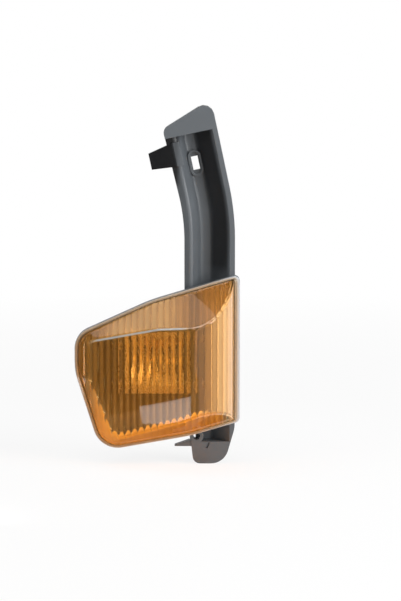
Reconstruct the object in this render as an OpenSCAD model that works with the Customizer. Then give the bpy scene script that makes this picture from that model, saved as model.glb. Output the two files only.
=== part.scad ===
// Corner indicator lamp for a truck cab. X points right as seen from the front,
// Y points back into the vehicle and Z points up. The origin is the mouth of the
// fixing hole in the foot, on the bracket's front plane.

/* [Lens outline] */
// X of the lens opening's right edge
rim_right = 41; // [38:0.5:45]
// Width of the lens opening
rim_w = 157; // [150:1:168]
// Height of the right edge's lower corner
right_low = 15.5; // [12:0.5:20]
// Length of the right edge
right_h = 142; // [134:1:150]
// Height of the upper left corner
left_top = 99.5; // [94:0.5:106]
// Height where the left edge starts to slant
left_mid = 64; // [58:1:70]
// Height of the lower left corner
left_low = -13.3; // [-16:0.1:-10]
// How far the lower left corner is set in from the left edge
left_slant = 24.3; // [18:0.1:30]
// How far the top edge bows out
top_bow = 6; // [3:0.5:8]
// How far the bottom edge bows out
bottom_bow = 3.6; // [2:0.1:5]
// Corner radius at the upper left
top_left_r = 21; // [16:1:24]
// Corner radius at the lower left
bottom_left_r = 24; // [18:1:28]
// Radius where the left edge bends
left_bend_r = 60; // [40:1:70]
// Corner radius on the right
right_r = 5; // [4:0.5:8]
// Radius that blends the bows of the top and bottom edges
bow_r = 150; // [100:5:200]

/* [Lens] */
// Depth of the lens at its left wall
left_depth = 15.6; // [12:0.1:20]
// Rise of the front face to the right, in mm per mm
face_slope = 0.41; // [0.36:0.01:0.44]
// Depth of the wrap-around curve
wrap_depth = 58; // [54:0.5:62]
// Width of the wrap-around curve from its middle to the right edge
wrap_w = 33.5; // [30:0.5:35]
// Lens wall
lens_t = 3; // [2.5:0.1:3.5]
// Flange thickness
flange_t = 2.5; // [2:0.1:3.5]
// Draft of the top wall, in mm per mm of depth
top_draft = 0.475; // [0.42:0.005:0.5]
// Draft of the bottom wall
bottom_draft = 0.4; // [0.36:0.01:0.44]
// Draft of the left wall
left_draft = 0.6; // [0.5:0.01:0.7]
// Draft of the right side skirt
right_draft = 0.12; // [0.08:0.01:0.16]
// Pitch of the upright flutes
flute_pitch = 6.2; // [5:0.1:8]
// Height of the flutes
flute_h = 1; // [0.6:0.1:1.3]

/* [Bracket] */
// Width of the bracket strip
strip_w = 48; // [44:0.5:52]
// X of the strip's right edge
strip_right = 36.5; // [34:0.5:38]
// Height of the bend in the right edge
bend_z = 215; // [200:1:230]
// Lean of the upper arm
arm_lean = 12; // [8:0.5:15]
// Radius of the bend at the right edge
bend_r = 150; // [120:5:180]
// Length of the upper arm along its right edge
arm_up = 110; // [104:1:120]
// Slope of the arm's top edge, in degrees from level
top_slope = 32; // [26:1:36]
// Distance along the arm from the bend to the end plate
trough_up = 82; // [76:1:86]
// Extra width of the upper arm at its top
arm_flare = 3; // [1:0.5:4]
// Depth of the trough behind the front plane
trough_depth = 16; // [12:0.5:18]
// Wall of the bracket
web_t = 2.8; // [2.2:0.1:3.4]
// Width of the strip's front rim on the right
edge_w = 5; // [4:0.5:7]
// Width of the trough's flat floor
floor_w = 10; // [9:0.5:12]
// Width of the trough's right wall as seen from the front
wall_run = 17; // [15:0.5:18]
// Width of the trough's left slope as seen from the front
slope_run = 9; // [7:0.5:10]
// Depth of the ridge behind the front plane
ridge_y = 3; // [1:0.5:5]
// Depth of the left edge behind the front plane
lip_y = 6; // [4:0.5:8]
// Reach of the strip's side wall behind the front plane
side_wall = 12; // [9:0.5:15]

/* [Arm slot and tab] */
// Width of the arm's slot
slot_w = 6.4; // [5.5:0.1:7]
// Length of the arm's slot
slot_l = 13; // [11:0.5:15]
// Distance of the slot's middle along the arm from the bend
slot_up = 53; // [48:1:58]
// Width of the raised collar round the slot, on each side
collar_w = 3; // [2:0.5:3.5]
// Height of the collar
collar_h = 3; // [2:0.5:4]
// Length of the side tab beyond the strip's left edge
tab_reach = 21; // [16:0.5:26]
// Height of the tab at its root
tab_root_h = 23; // [18:0.5:25]
// Height of the tab at its tip
tab_tip_h = 15.5; // [12:0.5:18]
// Distance of the tab's lower edge along the arm from the bend
tab_up = 54; // [48:1:56]
// Thickness of the tab
tab_t = 5; // [4:0.5:7]
// How far back the tab's tip lies behind its root
tab_back = 14; // [8:0.5:18]

/* [Foot] */
// Depth of the foot below the fixing hole
foot_drop = 26.4; // [24:0.2:30]
// Radius of the foot's left corner
foot_left_r = 7; // [5:0.5:9]
// Radius of the foot's right corner
foot_right_r = 17; // [13:0.5:19]
// Distance of the trough's end below the fixing hole
foot_trough = 5; // [4:0.5:7]
// Radius of the fixing hole
hole_r = 3.3; // [2.6:0.1:3.5]
// Radius of the boss round the fixing hole
boss_r = 6.5; // [5.5:0.1:7]
// Length of the fixing hole
boss_l = 12; // [9:0.5:15]
// Length of the side fin
fin_reach = 14.5; // [10:0.5:18]
// Height of the fin at its root
fin_h = 5.5; // [4:0.5:7]
// Depth of the fin, front to back
fin_d = 9; // [6:0.5:11]

/* [Lamp shell] */
// How far the shell's rim stands in front of the bracket's front plane
seat = 4; // [3:0.5:5]
// Back of the shell behind the bracket's front plane
shell_back = 24; // [22:0.5:27]
// Wall of the shell
shell_t = 2.6; // [2.2:0.1:3.2]
// Width of the rim
rim_t = 6.4; // [6:0.1:7]
// Depth of the rim
rim_d = 8; // [7:0.5:10]
// Depth of the rim's straight edge, behind which the shell narrows
rim_edge = 6; // [5:0.5:8]
// How far the shell narrows towards its back, all round
shell_taper = 9; // [7:0.5:11]
// Width of the groove for the seal
groove_w = 2.6; // [2.2:0.1:3]
// Depth of the groove
groove_d = 5.5; // [5:0.1:6]
// Thickness of the lens's tongue in the groove
tongue_t = 1.8; // [1.4:0.1:2]
// Height of the seal in the groove
seal_h = 2; // [1.5:0.1:2.5]
// How far the lens flange is set in from the shell's edge
flange_inset = 0.2; // [0:0.1:1]

/* [Reflector and bulb] */
// X of the bulb's axis
bulb_x = -37.5; // [-40:0.5:-35]
// Z of the bulb's axis
bulb_z = 72.4; // [70:0.2:75]
// Half width of the reflector
refl_w = 29; // [27:0.5:30]
// Half height of the reflector
refl_h = 31; // [29:0.5:32]
// Focal length of the bowl
bowl_f = 15; // [13:0.5:17]
// Radius of the bowl's opening
bowl_r = 27; // [25:0.5:28]
// Wall of the reflector
refl_t = 1.6; // [1.2:0.1:2]
// Front of the reflector's flange behind the bracket's front plane
refl_y = 2; // [1:0.5:4]
// Radius of the bulb's glass
glass_r = 12.5; // [11.5:0.1:12.8]
// Radius of the bulb's cap
cap_r = 7.5; // [7:0.1:7.6]
// Length of the bulb's cap
cap_l = 17; // [15:0.5:18]
// Distance from the cap's base to the glass's tip
bulb_l = 50; // [47:0.5:52]
// Wall of the bulb's glass
glass_t = 0.8; // [0.6:0.1:1]

/* [Bulb holder] */
// Radius of the hole in the shell's back
port_r = 16.5; // [16:0.1:17]
// Reach of the holder's lugs beyond the hole
lug_reach = 3; // [2:0.5:4]
// Thickness of the lugs
lug_t = 2; // [1.5:0.1:2.2]
// Width of one lug, in degrees
lug_angle = 30; // [24:1:34]
// Clearance between the turning holder and the shell
gap = 0.3; // [0.25:0.05:0.5]
// Height of the holder's seal
holder_seal_h = 2; // [1.5:0.1:2.5]
// Radius of the holder's flange
holder_flange_r = 23; // [22:0.5:24]
// Thickness of the holder's flange
holder_flange_t = 3; // [2.5:0.1:3.5]
// Radius of the holder's rear barrel
barrel_r = 13; // [12:0.5:14]
// Depth of the barrel behind the flange
barrel_l = 17; // [15:0.5:19]
// Width of the connector shroud
conn_w = 24; // [23:0.5:25.5]
// Height of the connector shroud
conn_h = 12; // [11:0.5:13]
// Depth of the connector shroud
conn_l = 16; // [14:0.5:20]
// Wall of the connector shroud
conn_t = 1.8; // [1.5:0.1:2]
// Width of a terminal blade
blade_w = 4.8; // [4:0.1:5]
// Thickness of a terminal blade
blade_t = 0.8; // [0.6:0.1:1]
// Radius of the breather cap
vent_r = 7; // [6:0.5:8]

/* [Hidden] */
$fn = 64;
far = 400;
tiny = 0.02;

// Seating plane of the lens and inner face of the shell's back
seat_y = -seat;
back_in = shell_back - shell_t;

// Outline of the shell's rim, anticlockwise from the upper right, as X and Z
rim_left = rim_right - rim_w;
right_top = right_low + right_h;
low_left_x = rim_left + left_slant;
top_mid_x = rim_left + rim_w * 0.46;
low_mid_x = rim_right - (rim_right - low_left_x) * 0.355;
rim_pts = [
    [rim_right, right_top],
    [top_mid_x, left_top + (right_top - left_top) * 0.46 + top_bow],
    [rim_left, left_top],
    [rim_left, left_mid],
    [low_left_x, left_low],
    [low_mid_x, left_low + (right_low - left_low) * 0.645 - bottom_bow],
    [rim_right, right_low]
];
rim_radii = [right_r, bow_r, top_left_r, left_bend_r, bottom_left_r, bow_r, right_r];
// Draft of each edge of the outline, in the same order
drafts = [top_draft, top_draft, left_draft, left_draft, bottom_draft, bottom_draft, right_draft];

// Unit vector, left normal and the crossing of two lines given by point and direction
function unit(v) = v / norm(v);
function left_of(v) = [-v[1], v[0]];
function cross2(a, b) = a[0] * b[1] - a[1] * b[0];
function meet(p, u, q, v) = p + u * (cross2(q - p, v) / cross2(u, v));

// Points moved inwards by one distance for each edge
function inset_pts(p, d) = [
    for (i = [0:len(p) - 1])
        let (
            n = len(p),
            a = p[(i + n - 1) % n],
            b = p[i],
            c = p[(i + 1) % n],
            u = unit(b - a),
            v = unit(c - b)
        )
        meet(b + left_of(u) * d[(i + n - 1) % n], u, b + left_of(v) * d[i], v)
];

// Arc that rounds corner b between its neighbours a and c
function arc_at(a, b, c, r, n) =
    let (
        u = unit(a - b),
        v = unit(c - b),
        half = acos(u * v) / 2,
        reach = r / tan(half),
        p = b + u * reach,
        q = b + v * reach,
        mid = b + unit(u + v) * (r / sin(half)),
        from = atan2(p[1] - mid[1], p[0] - mid[0]),
        turn = atan2(q[1] - mid[1], q[0] - mid[0]) - from,
        sweep = turn > 180 ? turn - 360 : turn < -180 ? turn + 360 : turn
    )
    [for (i = [0:n]) mid + r * [cos(from + sweep * i / n), sin(from + sweep * i / n)]];

function rounded(p, radii) = [
    for (i = [0:len(p) - 1])
        let (n = len(p), r = max(radii[i], 0.5))
        each arc_at(p[(i + n - 1) % n], p[i], p[(i + 1) % n], r, r > 10 && r < 60 ? 8 : 4)
];

// The rim's outline, set in by d all round
function rim_at(d) = rounded(
    inset_pts(rim_pts, [for (k = rim_pts) d]),
    [for (r = rim_radii) r - d]
);

// The lens's outline at a depth in front of the seating plane, set in by d as well
function lens_at(depth, d) = rounded(
    inset_pts(rim_pts, [for (k = drafts) d + k * depth]),
    [for (r = rim_radii) min(r, 50) - (d + 0.4 * depth)]
);

// An outline given as X and Z, made solid from y0 back to y1
module slab(points, y0, y1) {
    translate([0, y1, 0])
        rotate([90, 0, 0])
            linear_extrude(y1 - y0)
                polygon(points);
}

// A band along the rim between two insets
module band(outer, inner, y0, y1) {
    difference() {
        slab(rim_at(outer), y0, y1);
        slab(rim_at(inner), y0 - 1, y1 + 1);
    }
}

// Inset of the lens wall's outside where it leaves the flange
skirt = flange_inset + 1.8;
// Inset of the groove, centred in the rim
groove_in = (rim_t - groove_w) / 2;
tongue_in = (rim_t - tongue_t) / 2;

// Plan of the lens: X and depth in front of the seating plane, for a wall set in by d
wrap_x = strip_right - 1 - wrap_w;
wrap_from = -atan(face_slope * wrap_w / wrap_depth);
function wrap_point(a, d) = [wrap_x + (wrap_w - d) * sin(a), (wrap_depth - d) * cos(a)];
function face_depth(x, d) =
    let (p = wrap_point(wrap_from, d))
    p[1] + face_slope * (x - p[0]);

// Height of a flute at a distance along the row, as a round ridge
function ridge(s) =
    let (t = s / flute_pitch - floor(s / flute_pitch))
    flute_h * 4 * t * (1 - t);
FLUTE_STEPS = 4;
// Share of the flutes' full height on the top and bottom walls and on the wrap
wall_flute = 0.7;
wrap_flute = 0.8;
// Where the front face's row of flutes meets the wrap
flute_start = wrap_point(wrap_from, lens_t)[0];
face_steps = ceil((wrap_x - rim_left) / flute_pitch) * FLUTE_STEPS;
WRAP_FLUTES = 9;
wrap_steps = WRAP_FLUTES * FLUTE_STEPS;

// Smooth plan of the lens's outside
outer_plan = concat(
    [[rim_left - 5, face_depth(rim_left - 5, 0)]],
    [for (i = [0:20]) wrap_point(wrap_from + (90 - wrap_from) * i / 20, 0)],
    [[wrap_x + wrap_w, -5], [rim_left - 5, -5]]
);
// Fluted plan of the inside
inner_plan = concat(
    [for (i = [0:face_steps])
        let (
            s = (face_steps - i) * flute_pitch / FLUTE_STEPS,
            x = flute_start - s
        )
        [x, face_depth(x, lens_t) - ridge(s)]],
    [for (i = [1:wrap_steps])
        let (
            a = wrap_from + (90 - wrap_from) * i / wrap_steps,
            t = i / FLUTE_STEPS - floor(i / FLUTE_STEPS)
        )
        wrap_point(a, lens_t + flute_h * 4 * t * (1 - t) * wrap_flute)],
    [[wrap_x + wrap_w - lens_t, -12], [rim_left - 5, -12]]
);

// A plan given as X and depth, upright through the whole lens
module plan_prism(points) {
    translate([0, seat_y, left_low - rim_w / 4])
        linear_extrude(right_h + rim_w)
            polygon([for (p = points) [p[0], -p[1]]]);
}

// The drafted walls of the lens, set in by d, from a depth at the flange to past the front
module drafted(d, from) {
    hull() {
        slab(lens_at(from, d), seat_y - from - tiny, seat_y - from);
        slab(lens_at(left_depth, d), seat_y - left_depth - tiny, seat_y - left_depth);
        slab(lens_at(wrap_depth + 6, d), seat_y - wrap_depth - 6 - tiny, seat_y - wrap_depth - 6);
    }
}

// Space under a row of ridges that runs down the top or bottom wall. The ridges start a
// little inside the wall's own face, and a little beside the front's row.
ridge_foot = 0.25;
ridge_shift = 0.4;
module wall_ridges(draft, edge_a, edge_b, up) {
    lean = atan(draft);
    slope = (edge_b[1] - edge_a[1]) / (edge_b[0] - edge_a[0]);
    inset = (skirt + lens_t + ridge_foot) * sqrt(1 + slope * slope);
    steps = (ceil(rim_w / flute_pitch) + 4) * FLUTE_STEPS;
    level = function(x) edge_a[1] + slope * (x - edge_a[0]) - up * inset;
    translate([0, seat_y, 0])
        rotate([up * lean, 0, 0])
            rotate([90, 0, 0])
                linear_extrude(far * 2, center = true)
                    polygon(concat(
                        [for (i = [0:steps])
                            let (
                                s = (i - WRAP_FLUTES * FLUTE_STEPS) * flute_pitch / FLUTE_STEPS,
                                x = flute_start - s - ridge_shift
                            )
                            [x, level(x) * cos(lean) - up * ridge(s + flute_pitch * steps) * wall_flute]],
                        [[rim_left - 20, -up * far], [rim_right + 20, -up * far]]
                    ));
}

module lens_outer() {
    intersection() {
        drafted(skirt, flange_t / 2);
        plan_prism(outer_plan);
    }
}

module lens_cavity() {
    intersection() {
        drafted(skirt + lens_t, -5);
        plan_prism(inner_plan);
        wall_ridges(top_draft, rim_pts[1], rim_pts[0], 1);
        wall_ridges(top_draft, rim_pts[2], rim_pts[1], 1);
        wall_ridges(bottom_draft, rim_pts[4], rim_pts[5], -1);
        wall_ridges(bottom_draft, rim_pts[5], rim_pts[6], -1);
    }
}

module lens() {
    color([0.93, 0.5, 0.08, 0.75]) {
        difference() {
            union() {
                lens_outer();
                slab(rim_at(flange_inset), seat_y - flange_t, seat_y);
            }
            lens_cavity();
        }
        band(tongue_in, tongue_in + tongue_t, seat_y, seat_y + groove_d - seal_h);
    }
}

module lens_seal() {
    color([0.12, 0.12, 0.13])
        band(groove_in, groove_in + groove_w, seat_y + groove_d - seal_h, seat_y + groove_d);
}

// Bracket strip: X and Y of its front surface, from the side wall to the left lip
strip_left = strip_right - strip_w;
floor_right = strip_right - edge_w - wall_run;
floor_left = floor_right - floor_w;
ridge_x = floor_left - slope_run;
strip_front = [
    [strip_right, side_wall],
    [strip_right, 0],
    [strip_right - edge_w, 0],
    [floor_right, trough_depth],
    [floor_left, trough_depth],
    [ridge_x, ridge_y],
    [strip_left - arm_flare - 1, lip_y]
];

// Corners of the wall's front and back, with round bends
function open_round(p, r) = concat(
    [p[0]],
    [for (i = [1:len(p) - 2]) each arc_at(p[i - 1], p[i], p[i + 1], r[i], 4)],
    [p[len(p) - 1]]
);
front_radii = [0, 0.5, 1.6, 5, 5, 4, 0];
back_radii = [0, 0.5, 0.6, 3, 3, 6, 0];

// An open line moved to its left by t
function moved(p, t) = [
    for (i = [0:len(p) - 1])
        let (
            last = len(p) - 1,
            u = unit(p[max(i, 1)] - p[max(i, 1) - 1]),
            v = unit(p[min(i + 1, last)] - p[min(i + 1, last) - 1])
        )
        i == 0 ? p[i] + left_of(v) * t
            : i == last ? p[i] + left_of(u) * t
            : norm(u - v) < 0.001 ? p[i] + left_of(u) * t
            : meet(p[i] + left_of(u) * t, u, p[i] + left_of(v) * t, v)
];
strip_back = moved(strip_front, -web_t);

// Closed outline of the strip's section, grown by d all round. It is a little wide on the
// right, where the bracket's outline trims it.
trim = 1.5;
back_line = open_round(strip_back, back_radii);
function wider(p) = [for (q = p) q + [q[0] > strip_right - 1 ? trim : 0, 0]];
function longer(p, d) = [for (i = [0:len(p) - 1]) p[i] + [0, i == 0 ? d : 0]];
function strip_line(d) =
    let (
        front = open_round(longer(wider(moved(strip_front, d)), d), front_radii),
        back = open_round(longer(moved(strip_front, -web_t - d), d), back_radii)
    )
    concat(front, [for (i = [len(back) - 1:-1:0]) back[i]]);

// Filled section that closes an end of the trough
module strip_fill() {
    polygon(concat(
        [[strip_front[6][0], 0], [strip_right + trim, 0], [strip_right + trim, side_wall]],
        back_line
    ));
}

// Moves its children from the strip's upright run to the leaning arm
module arm_place() {
    translate([strip_right, 0, bend_z])
        rotate([0, -arm_lean, 0])
            translate([-strip_right, 0, 0])
                children();
}

// A place on the arm, from X and the distance past the bend, as X and Z
function on_arm(x, up) =
    let (run = x - strip_right)
    [
        strip_right + run * cos(arm_lean) - up * sin(arm_lean),
        bend_z + run * sin(arm_lean) + up * cos(arm_lean)
    ];

// Moves its children to the mitre between the upright run and the arm
module mitre_place() {
    translate([strip_right, 0, bend_z])
        rotate([0, -arm_lean / 2, 0])
            children();
}

// The strip from z0 up to the bend and on along the arm. Both ends stop inside a thin rib
// round the bend.
rib_t = 1.2;
rib_h = 0.25;
module strip(z0) {
    widen = 1 / cos(arm_lean / 2);
    difference() {
        translate([0, 0, z0])
            linear_extrude(bend_z - z0)
                polygon(strip_line(0));
        mitre_place()
            translate([-far / 2, -far / 2, -rib_t / 6])
                cube(far);
    }
    mitre_place()
        translate([0, 0, -rib_t / 2])
            linear_extrude(rib_t)
                polygon([for (p = strip_line(rib_h)) [(p[0] - strip_right) * widen, p[1]]]);
    difference() {
        arm_place()
            linear_extrude(trough_up + web_t / 2)
                polygon(strip_line(0));
        mitre_place()
            translate([-far / 2, -far / 2, rib_t / 6 - far])
                cube(far);
    }
}

// Fall of the arm's top edge over its width, in the arm's own frame, and the extra width there
arm_fall = tan(top_slope - arm_lean);
arm_extra = arm_flare * (1 - strip_w * arm_fall / arm_up);

// Outline of the bracket as X and Z, anticlockwise from the foot's lower right corner
foot_taper = 10;
foot_bevel = 8.5;
foot_shoulder = 4.2;
bracket_shape = [
    [strip_right - foot_taper, -foot_drop],
    [strip_right, 8],
    [strip_right, bend_z],
    on_arm(strip_right, arm_up),
    on_arm(strip_left - arm_extra, arm_up - (strip_w + arm_flare) * arm_fall),
    [strip_left, bend_z - strip_w * tan(arm_lean / 2)],
    [strip_left, 40],
    [strip_left + foot_shoulder, 12],
    [strip_left + foot_bevel, -foot_drop]
];
bracket_r = [foot_right_r, 30, bend_r, 10, 7, bend_r - strip_w, 30, 6, foot_left_r];

module bracket_outline(d, y0, y1) {
    slab(
        rounded(
            inset_pts(bracket_shape, [for (p = bracket_shape) d]),
            [for (r = bracket_r) r - d]
        ),
        y0,
        y1
    );
}

// Stock for the foot: the trough's closed end, the plate and a wall round the edge. They
// overlap by the bite, so none only touches.
bite = 0.4;
module foot_stock() {
    translate([0, 0, -foot_trough - web_t])
        linear_extrude(web_t)
            strip_fill();
    translate([strip_left - 5, 0, -foot_drop - 5])
        cube([strip_w + 10, web_t, foot_drop + 5 - foot_trough - bite]);
    translate([strip_left - 3, 0, -foot_drop - 3])
        cube([ridge_x + boss_r - strip_left + 3, web_t, foot_drop + right_low]);
    difference() {
        translate([strip_left - 4, bite, -foot_drop - 4])
            cube([strip_w + 8, side_wall - bite, foot_drop + 4 - foot_trough - 2 * bite]);
        bracket_outline(web_t, 0, side_wall + 1);
    }
}

// Stock for the arm's end: the same, under the arm's sloping top
module arm_stock() {
    arm_place() {
        translate([0, 0, trough_up])
            linear_extrude(web_t)
                strip_fill();
        translate([strip_left - 20, 0, trough_up + bite])
            cube([strip_w + 25, web_t, arm_up]);
    }
    difference() {
        arm_place()
            translate([strip_left - 18, bite, trough_up + 2 * bite])
                cube([strip_w + 22, lip_y + web_t - bite, arm_up]);
        bracket_outline(web_t, 0, lip_y + web_t + 1);
    }
}

module bracket() {
    intersection() {
        bracket_outline(0, -1, 60);
        union() {
            strip(-foot_trough - web_t / 2);
            foot_stock();
            arm_stock();
        }
    }
}

slot_x = (floor_left + floor_right) / 2;
// Flat left round the slot inside its collar, and extra length at the collar's ends
collar_step = 2;
slot_end = 6;

// Long hole along the arm, with round ends
module long_hole(w, l, y0, y1) {
    hull()
        for (s = [-1, 1])
            translate([slot_x, y1, slot_up + s * (l - w) / 2])
                rotate([90, 0, 0])
                    cylinder(r = w / 2, h = y1 - y0, $fn = 32);
}

module side_tab() {
    root_x = ridge_x + 3;
    tip_x = strip_left - tab_reach;
    hull() {
        translate([root_x - 6, ridge_y - 1, tab_up])
            cube([6, tab_t, tab_root_h]);
        translate([tip_x, ridge_y + tab_back - 1, tab_up + 1])
            cube([1.2, tab_t, tab_tip_h]);
    }
}

// Depth of the fin's top below the fixing hole
fin_drop = 4;
module fin() {
    top = -fin_drop;
    hull() {
        translate([strip_left + 4, 0.5, top - fin_h])
            cube([5, fin_d, fin_h]);
        translate([strip_left + 5 - fin_reach, 0.5, top - fin_h])
            cube([0.6, fin_d * 0.6, 1.4]);
    }
}

// Notch in the foot beside the trough's end
module foot_notch() {
    translate([boss_r + 2.4, -1, -foot_trough - 6])
        rotate([0, 24, 0])
            cube([1.6, 1 + web_t * 0.6, 6]);
}

// Outside and inside of the lamp shell
module shell_form(d, y0, y1) {
    hull() {
        slab(rim_at(d), y0, seat_y + rim_edge);
        slab(rim_at(shell_taper + d * 0.6), y1 - 1, y1);
    }
}

module shell() {
    difference() {
        shell_form(0, seat_y, shell_back);
        difference() {
            shell_form(shell_t, seat_y - 1, back_in);
            difference() {
                translate([rim_left - 10, seat_y - 2, left_low - 10])
                    cube([rim_w + 20, rim_d + 2, right_h + 60]);
                slab(rim_at(rim_t), seat_y - 3, seat_y + rim_d + 1);
            }
        }
        band(groove_in, groove_in + groove_w, seat_y - 1, seat_y + groove_d);
    }
}

// Cuts through the shell for the bulb holder, with a way in for each lug
LUGS = 3;
lug_r = port_r + lug_reach;
notch_turn = 45;
function lug_turn(k) = 90 + 360 * k / LUGS;
module at_bulb() {
    translate([bulb_x, 0, bulb_z])
        children();
}

// A wedge about the bulb's axis, from angle a over w degrees
module sector(a, w, r, y0, y1) {
    translate([0, y1, 0])
        rotate([90, 0, 0])
            linear_extrude(y1 - y0)
                polygon(concat(
                    [[0, 0]],
                    [for (i = [-2:2])
                        let (turn = a + w * i / 4)
                        r * 1.2 * [cos(turn), sin(turn)]]
                ));
}

module ring(r1, r0, y0, y1) {
    translate([0, y1, 0])
        rotate([90, 0, 0])
            difference() {
                cylinder(r = r1, h = y1 - y0);
                if (r0 > 0)
                    translate([0, 0, -1])
                        cylinder(r = r0, h = y1 - y0 + 2);
            }
}

module port_cut() {
    at_bulb() {
        ring(port_r, 0, back_in - 1, shell_back + 1);
        for (k = [1:LUGS])
            intersection() {
                ring(lug_r + gap, 0, back_in - 1, shell_back + 1);
                sector(lug_turn(k) + notch_turn, lug_angle + 4, lug_r, back_in - 1, shell_back + 1);
            }
    }
}

collar_in = holder_flange_r + 1;
module port_collar() {
    at_bulb()
        ring(collar_in + 2.2, collar_in, shell_back - 1, shell_back + holder_seal_h + gap + holder_flange_t);
}

// Vent spigot on the shell's back, and bosses for the reflector's screws
vent_x = bulb_x - 46;
vent_z = bulb_z - 12;
spigot_r = vent_r - 2;
spigot_l = 6;
screw_r = 1.6;
screw_l = refl_t + 10;
pillar_r = 3.6;
refl_back = refl_y + refl_t;
ear_x = refl_w + pillar_r + 0.4;
screw_at = [[-ear_x, -refl_h + 8], [ear_x, -refl_h + 8], [-ear_x, refl_h - 16], [ear_x, refl_h - 10]];

module vent_spigot() {
    translate([vent_x, 0, vent_z])
        difference() {
            ring(spigot_r, 0, shell_back - 1, shell_back + spigot_l);
            ring(1.5, 0, back_in - 2, shell_back + spigot_l + 1);
        }
}

module pillars() {
    at_bulb()
        for (p = screw_at)
            translate([p[0], 0, p[1]])
                ring(pillar_r, 0, refl_back, back_in + 1);
}

module pilot_holes() {
    at_bulb()
        for (p = screw_at)
            translate([p[0], 0, p[1]])
                ring(screw_r + 0.05, 0, refl_back - 1, refl_y + screw_l + 2);
}

module housing() {
    color([0.16, 0.17, 0.18])
        difference() {
            union() {
                difference() {
                    union() {
                        bracket();
                        ring(boss_r, 0, 0, boss_l);
                    }
                    shell_form(shell_t / 2, seat_y - 1, shell_back - shell_t / 2);
                }
                arm_place() {
                    side_tab();
                    difference() {
                        long_hole(
                            slot_w + 2 * collar_w,
                            slot_l + 2 * collar_w + slot_end,
                            trough_depth - collar_h,
                            trough_depth + 1
                        );
                        long_hole(
                            slot_w + collar_step,
                            slot_l + collar_step + slot_end,
                            trough_depth - collar_h - 1,
                            trough_depth - 0.8
                        );
                    }
                }
                shell();
                port_collar();
                pillars();
                vent_spigot();
                fin();
            }
            arm_place()
                translate([slot_x - slot_w / 2, trough_depth - collar_h - 2, slot_up - slot_l / 2])
                    cube([slot_w, collar_h + web_t + 6, slot_l]);
            port_cut();
            pilot_holes();
            translate([vent_x, 0, vent_z])
                ring(1.5, 0, back_in - 2, shell_back + 2);
            foot_notch();
            ring(hole_r, 0, -1, boss_l + 1);
        }
}

// Reflector: bowl about the bulb's axis, with a plate and screw ears
bulb_hole_r = glass_r + 1.5;
bowl_y = refl_y + bowl_r * bowl_r / (4 * bowl_f);
function bowl_at(r) = bowl_y - r * r / (4 * bowl_f);
BOWL_STEPS = 10;
bowl_line = [for (i = [0:BOWL_STEPS]) bulb_hole_r + (bowl_r - bulb_hole_r) * i / BOWL_STEPS];

module reflector() {
    color([0.82, 0.82, 0.84])
        at_bulb()
            difference() {
                union() {
                    translate([-refl_w, refl_y, -refl_h])
                        cube([refl_w * 2, refl_t, refl_h * 2]);
                    for (p = screw_at)
                        translate([p[0], 0, p[1]])
                            ring(pillar_r, 0, refl_y, refl_back);
                    for (p = screw_at)
                        translate([p[0] - (p[0] > 0 ? pillar_r + 1 : 0), refl_y, p[1] - pillar_r])
                            cube([pillar_r + 1, refl_t, pillar_r * 2]);
                    rotate([-90, 0, 0])
                        rotate_extrude()
                            polygon(concat(
                                [for (r = bowl_line) [r, bowl_at(r)]],
                                [[bowl_r + refl_t, refl_y]],
                                [for (i = [BOWL_STEPS:-1:0])
                                    let (r = bowl_line[i])
                                    [r + (i > 0 ? refl_t * 0.7 : 0), bowl_at(r) + refl_t]]
                            ));
                }
                ring(bowl_r, 0, refl_y - 1, refl_back);
                for (p = screw_at)
                    translate([p[0], 0, p[1]])
                        ring(screw_r + 0.2, 0, refl_y - 1, refl_back + 1);
            }
}

module reflector_screws() {
    color([0.7, 0.7, 0.72])
        at_bulb()
            for (p = screw_at)
                translate([p[0], 0, p[1]])
                    difference() {
                        union() {
                            ring(3.2, 0, refl_y - 2, refl_y);
                            ring(screw_r, 0, refl_y, refl_y + screw_l);
                        }
                        translate([0, refl_y - 1.5, 0])
                            for (a = [0, 90])
                                rotate([0, a, 0])
                                    cube([3.4, 2, 0.8], center = true);
                    }
}

module breather_cap() {
    color([0.1, 0.1, 0.1])
        translate([vent_x, 0, vent_z])
            rotate([-90, 0, 0])
                rotate_extrude()
                    polygon([
                        [spigot_r, shell_back + 1],
                        [vent_r, shell_back + 1],
                        [vent_r, shell_back + spigot_l + 1],
                        [vent_r - 1.2, shell_back + spigot_l + 2.4],
                        [0, shell_back + spigot_l + 2.4],
                        [0, shell_back + spigot_l],
                        [spigot_r, shell_back + spigot_l]
                    ]);
}

// Places along the bulb's axis, all from the shell's back
flange_y = shell_back + gap + holder_seal_h;
flange_back = flange_y + holder_flange_t;
barrel_back = flange_back + barrel_l;
base_floor = barrel_back - web_t;
plunger_l = 3;
spring_l = 7;
contact_h = 1.4;
base_y = base_floor - spring_l - plunger_l - contact_h;
sleeve_in = cap_r + 0.25;
sleeve_t = 0.6;
sleeve_out = sleeve_in + sleeve_t;
well_r = sleeve_out + 1.2;
lug_y1 = back_in - gap;
lug_y0 = lug_y1 - lug_t;
stem_r = port_r - gap;

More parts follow.
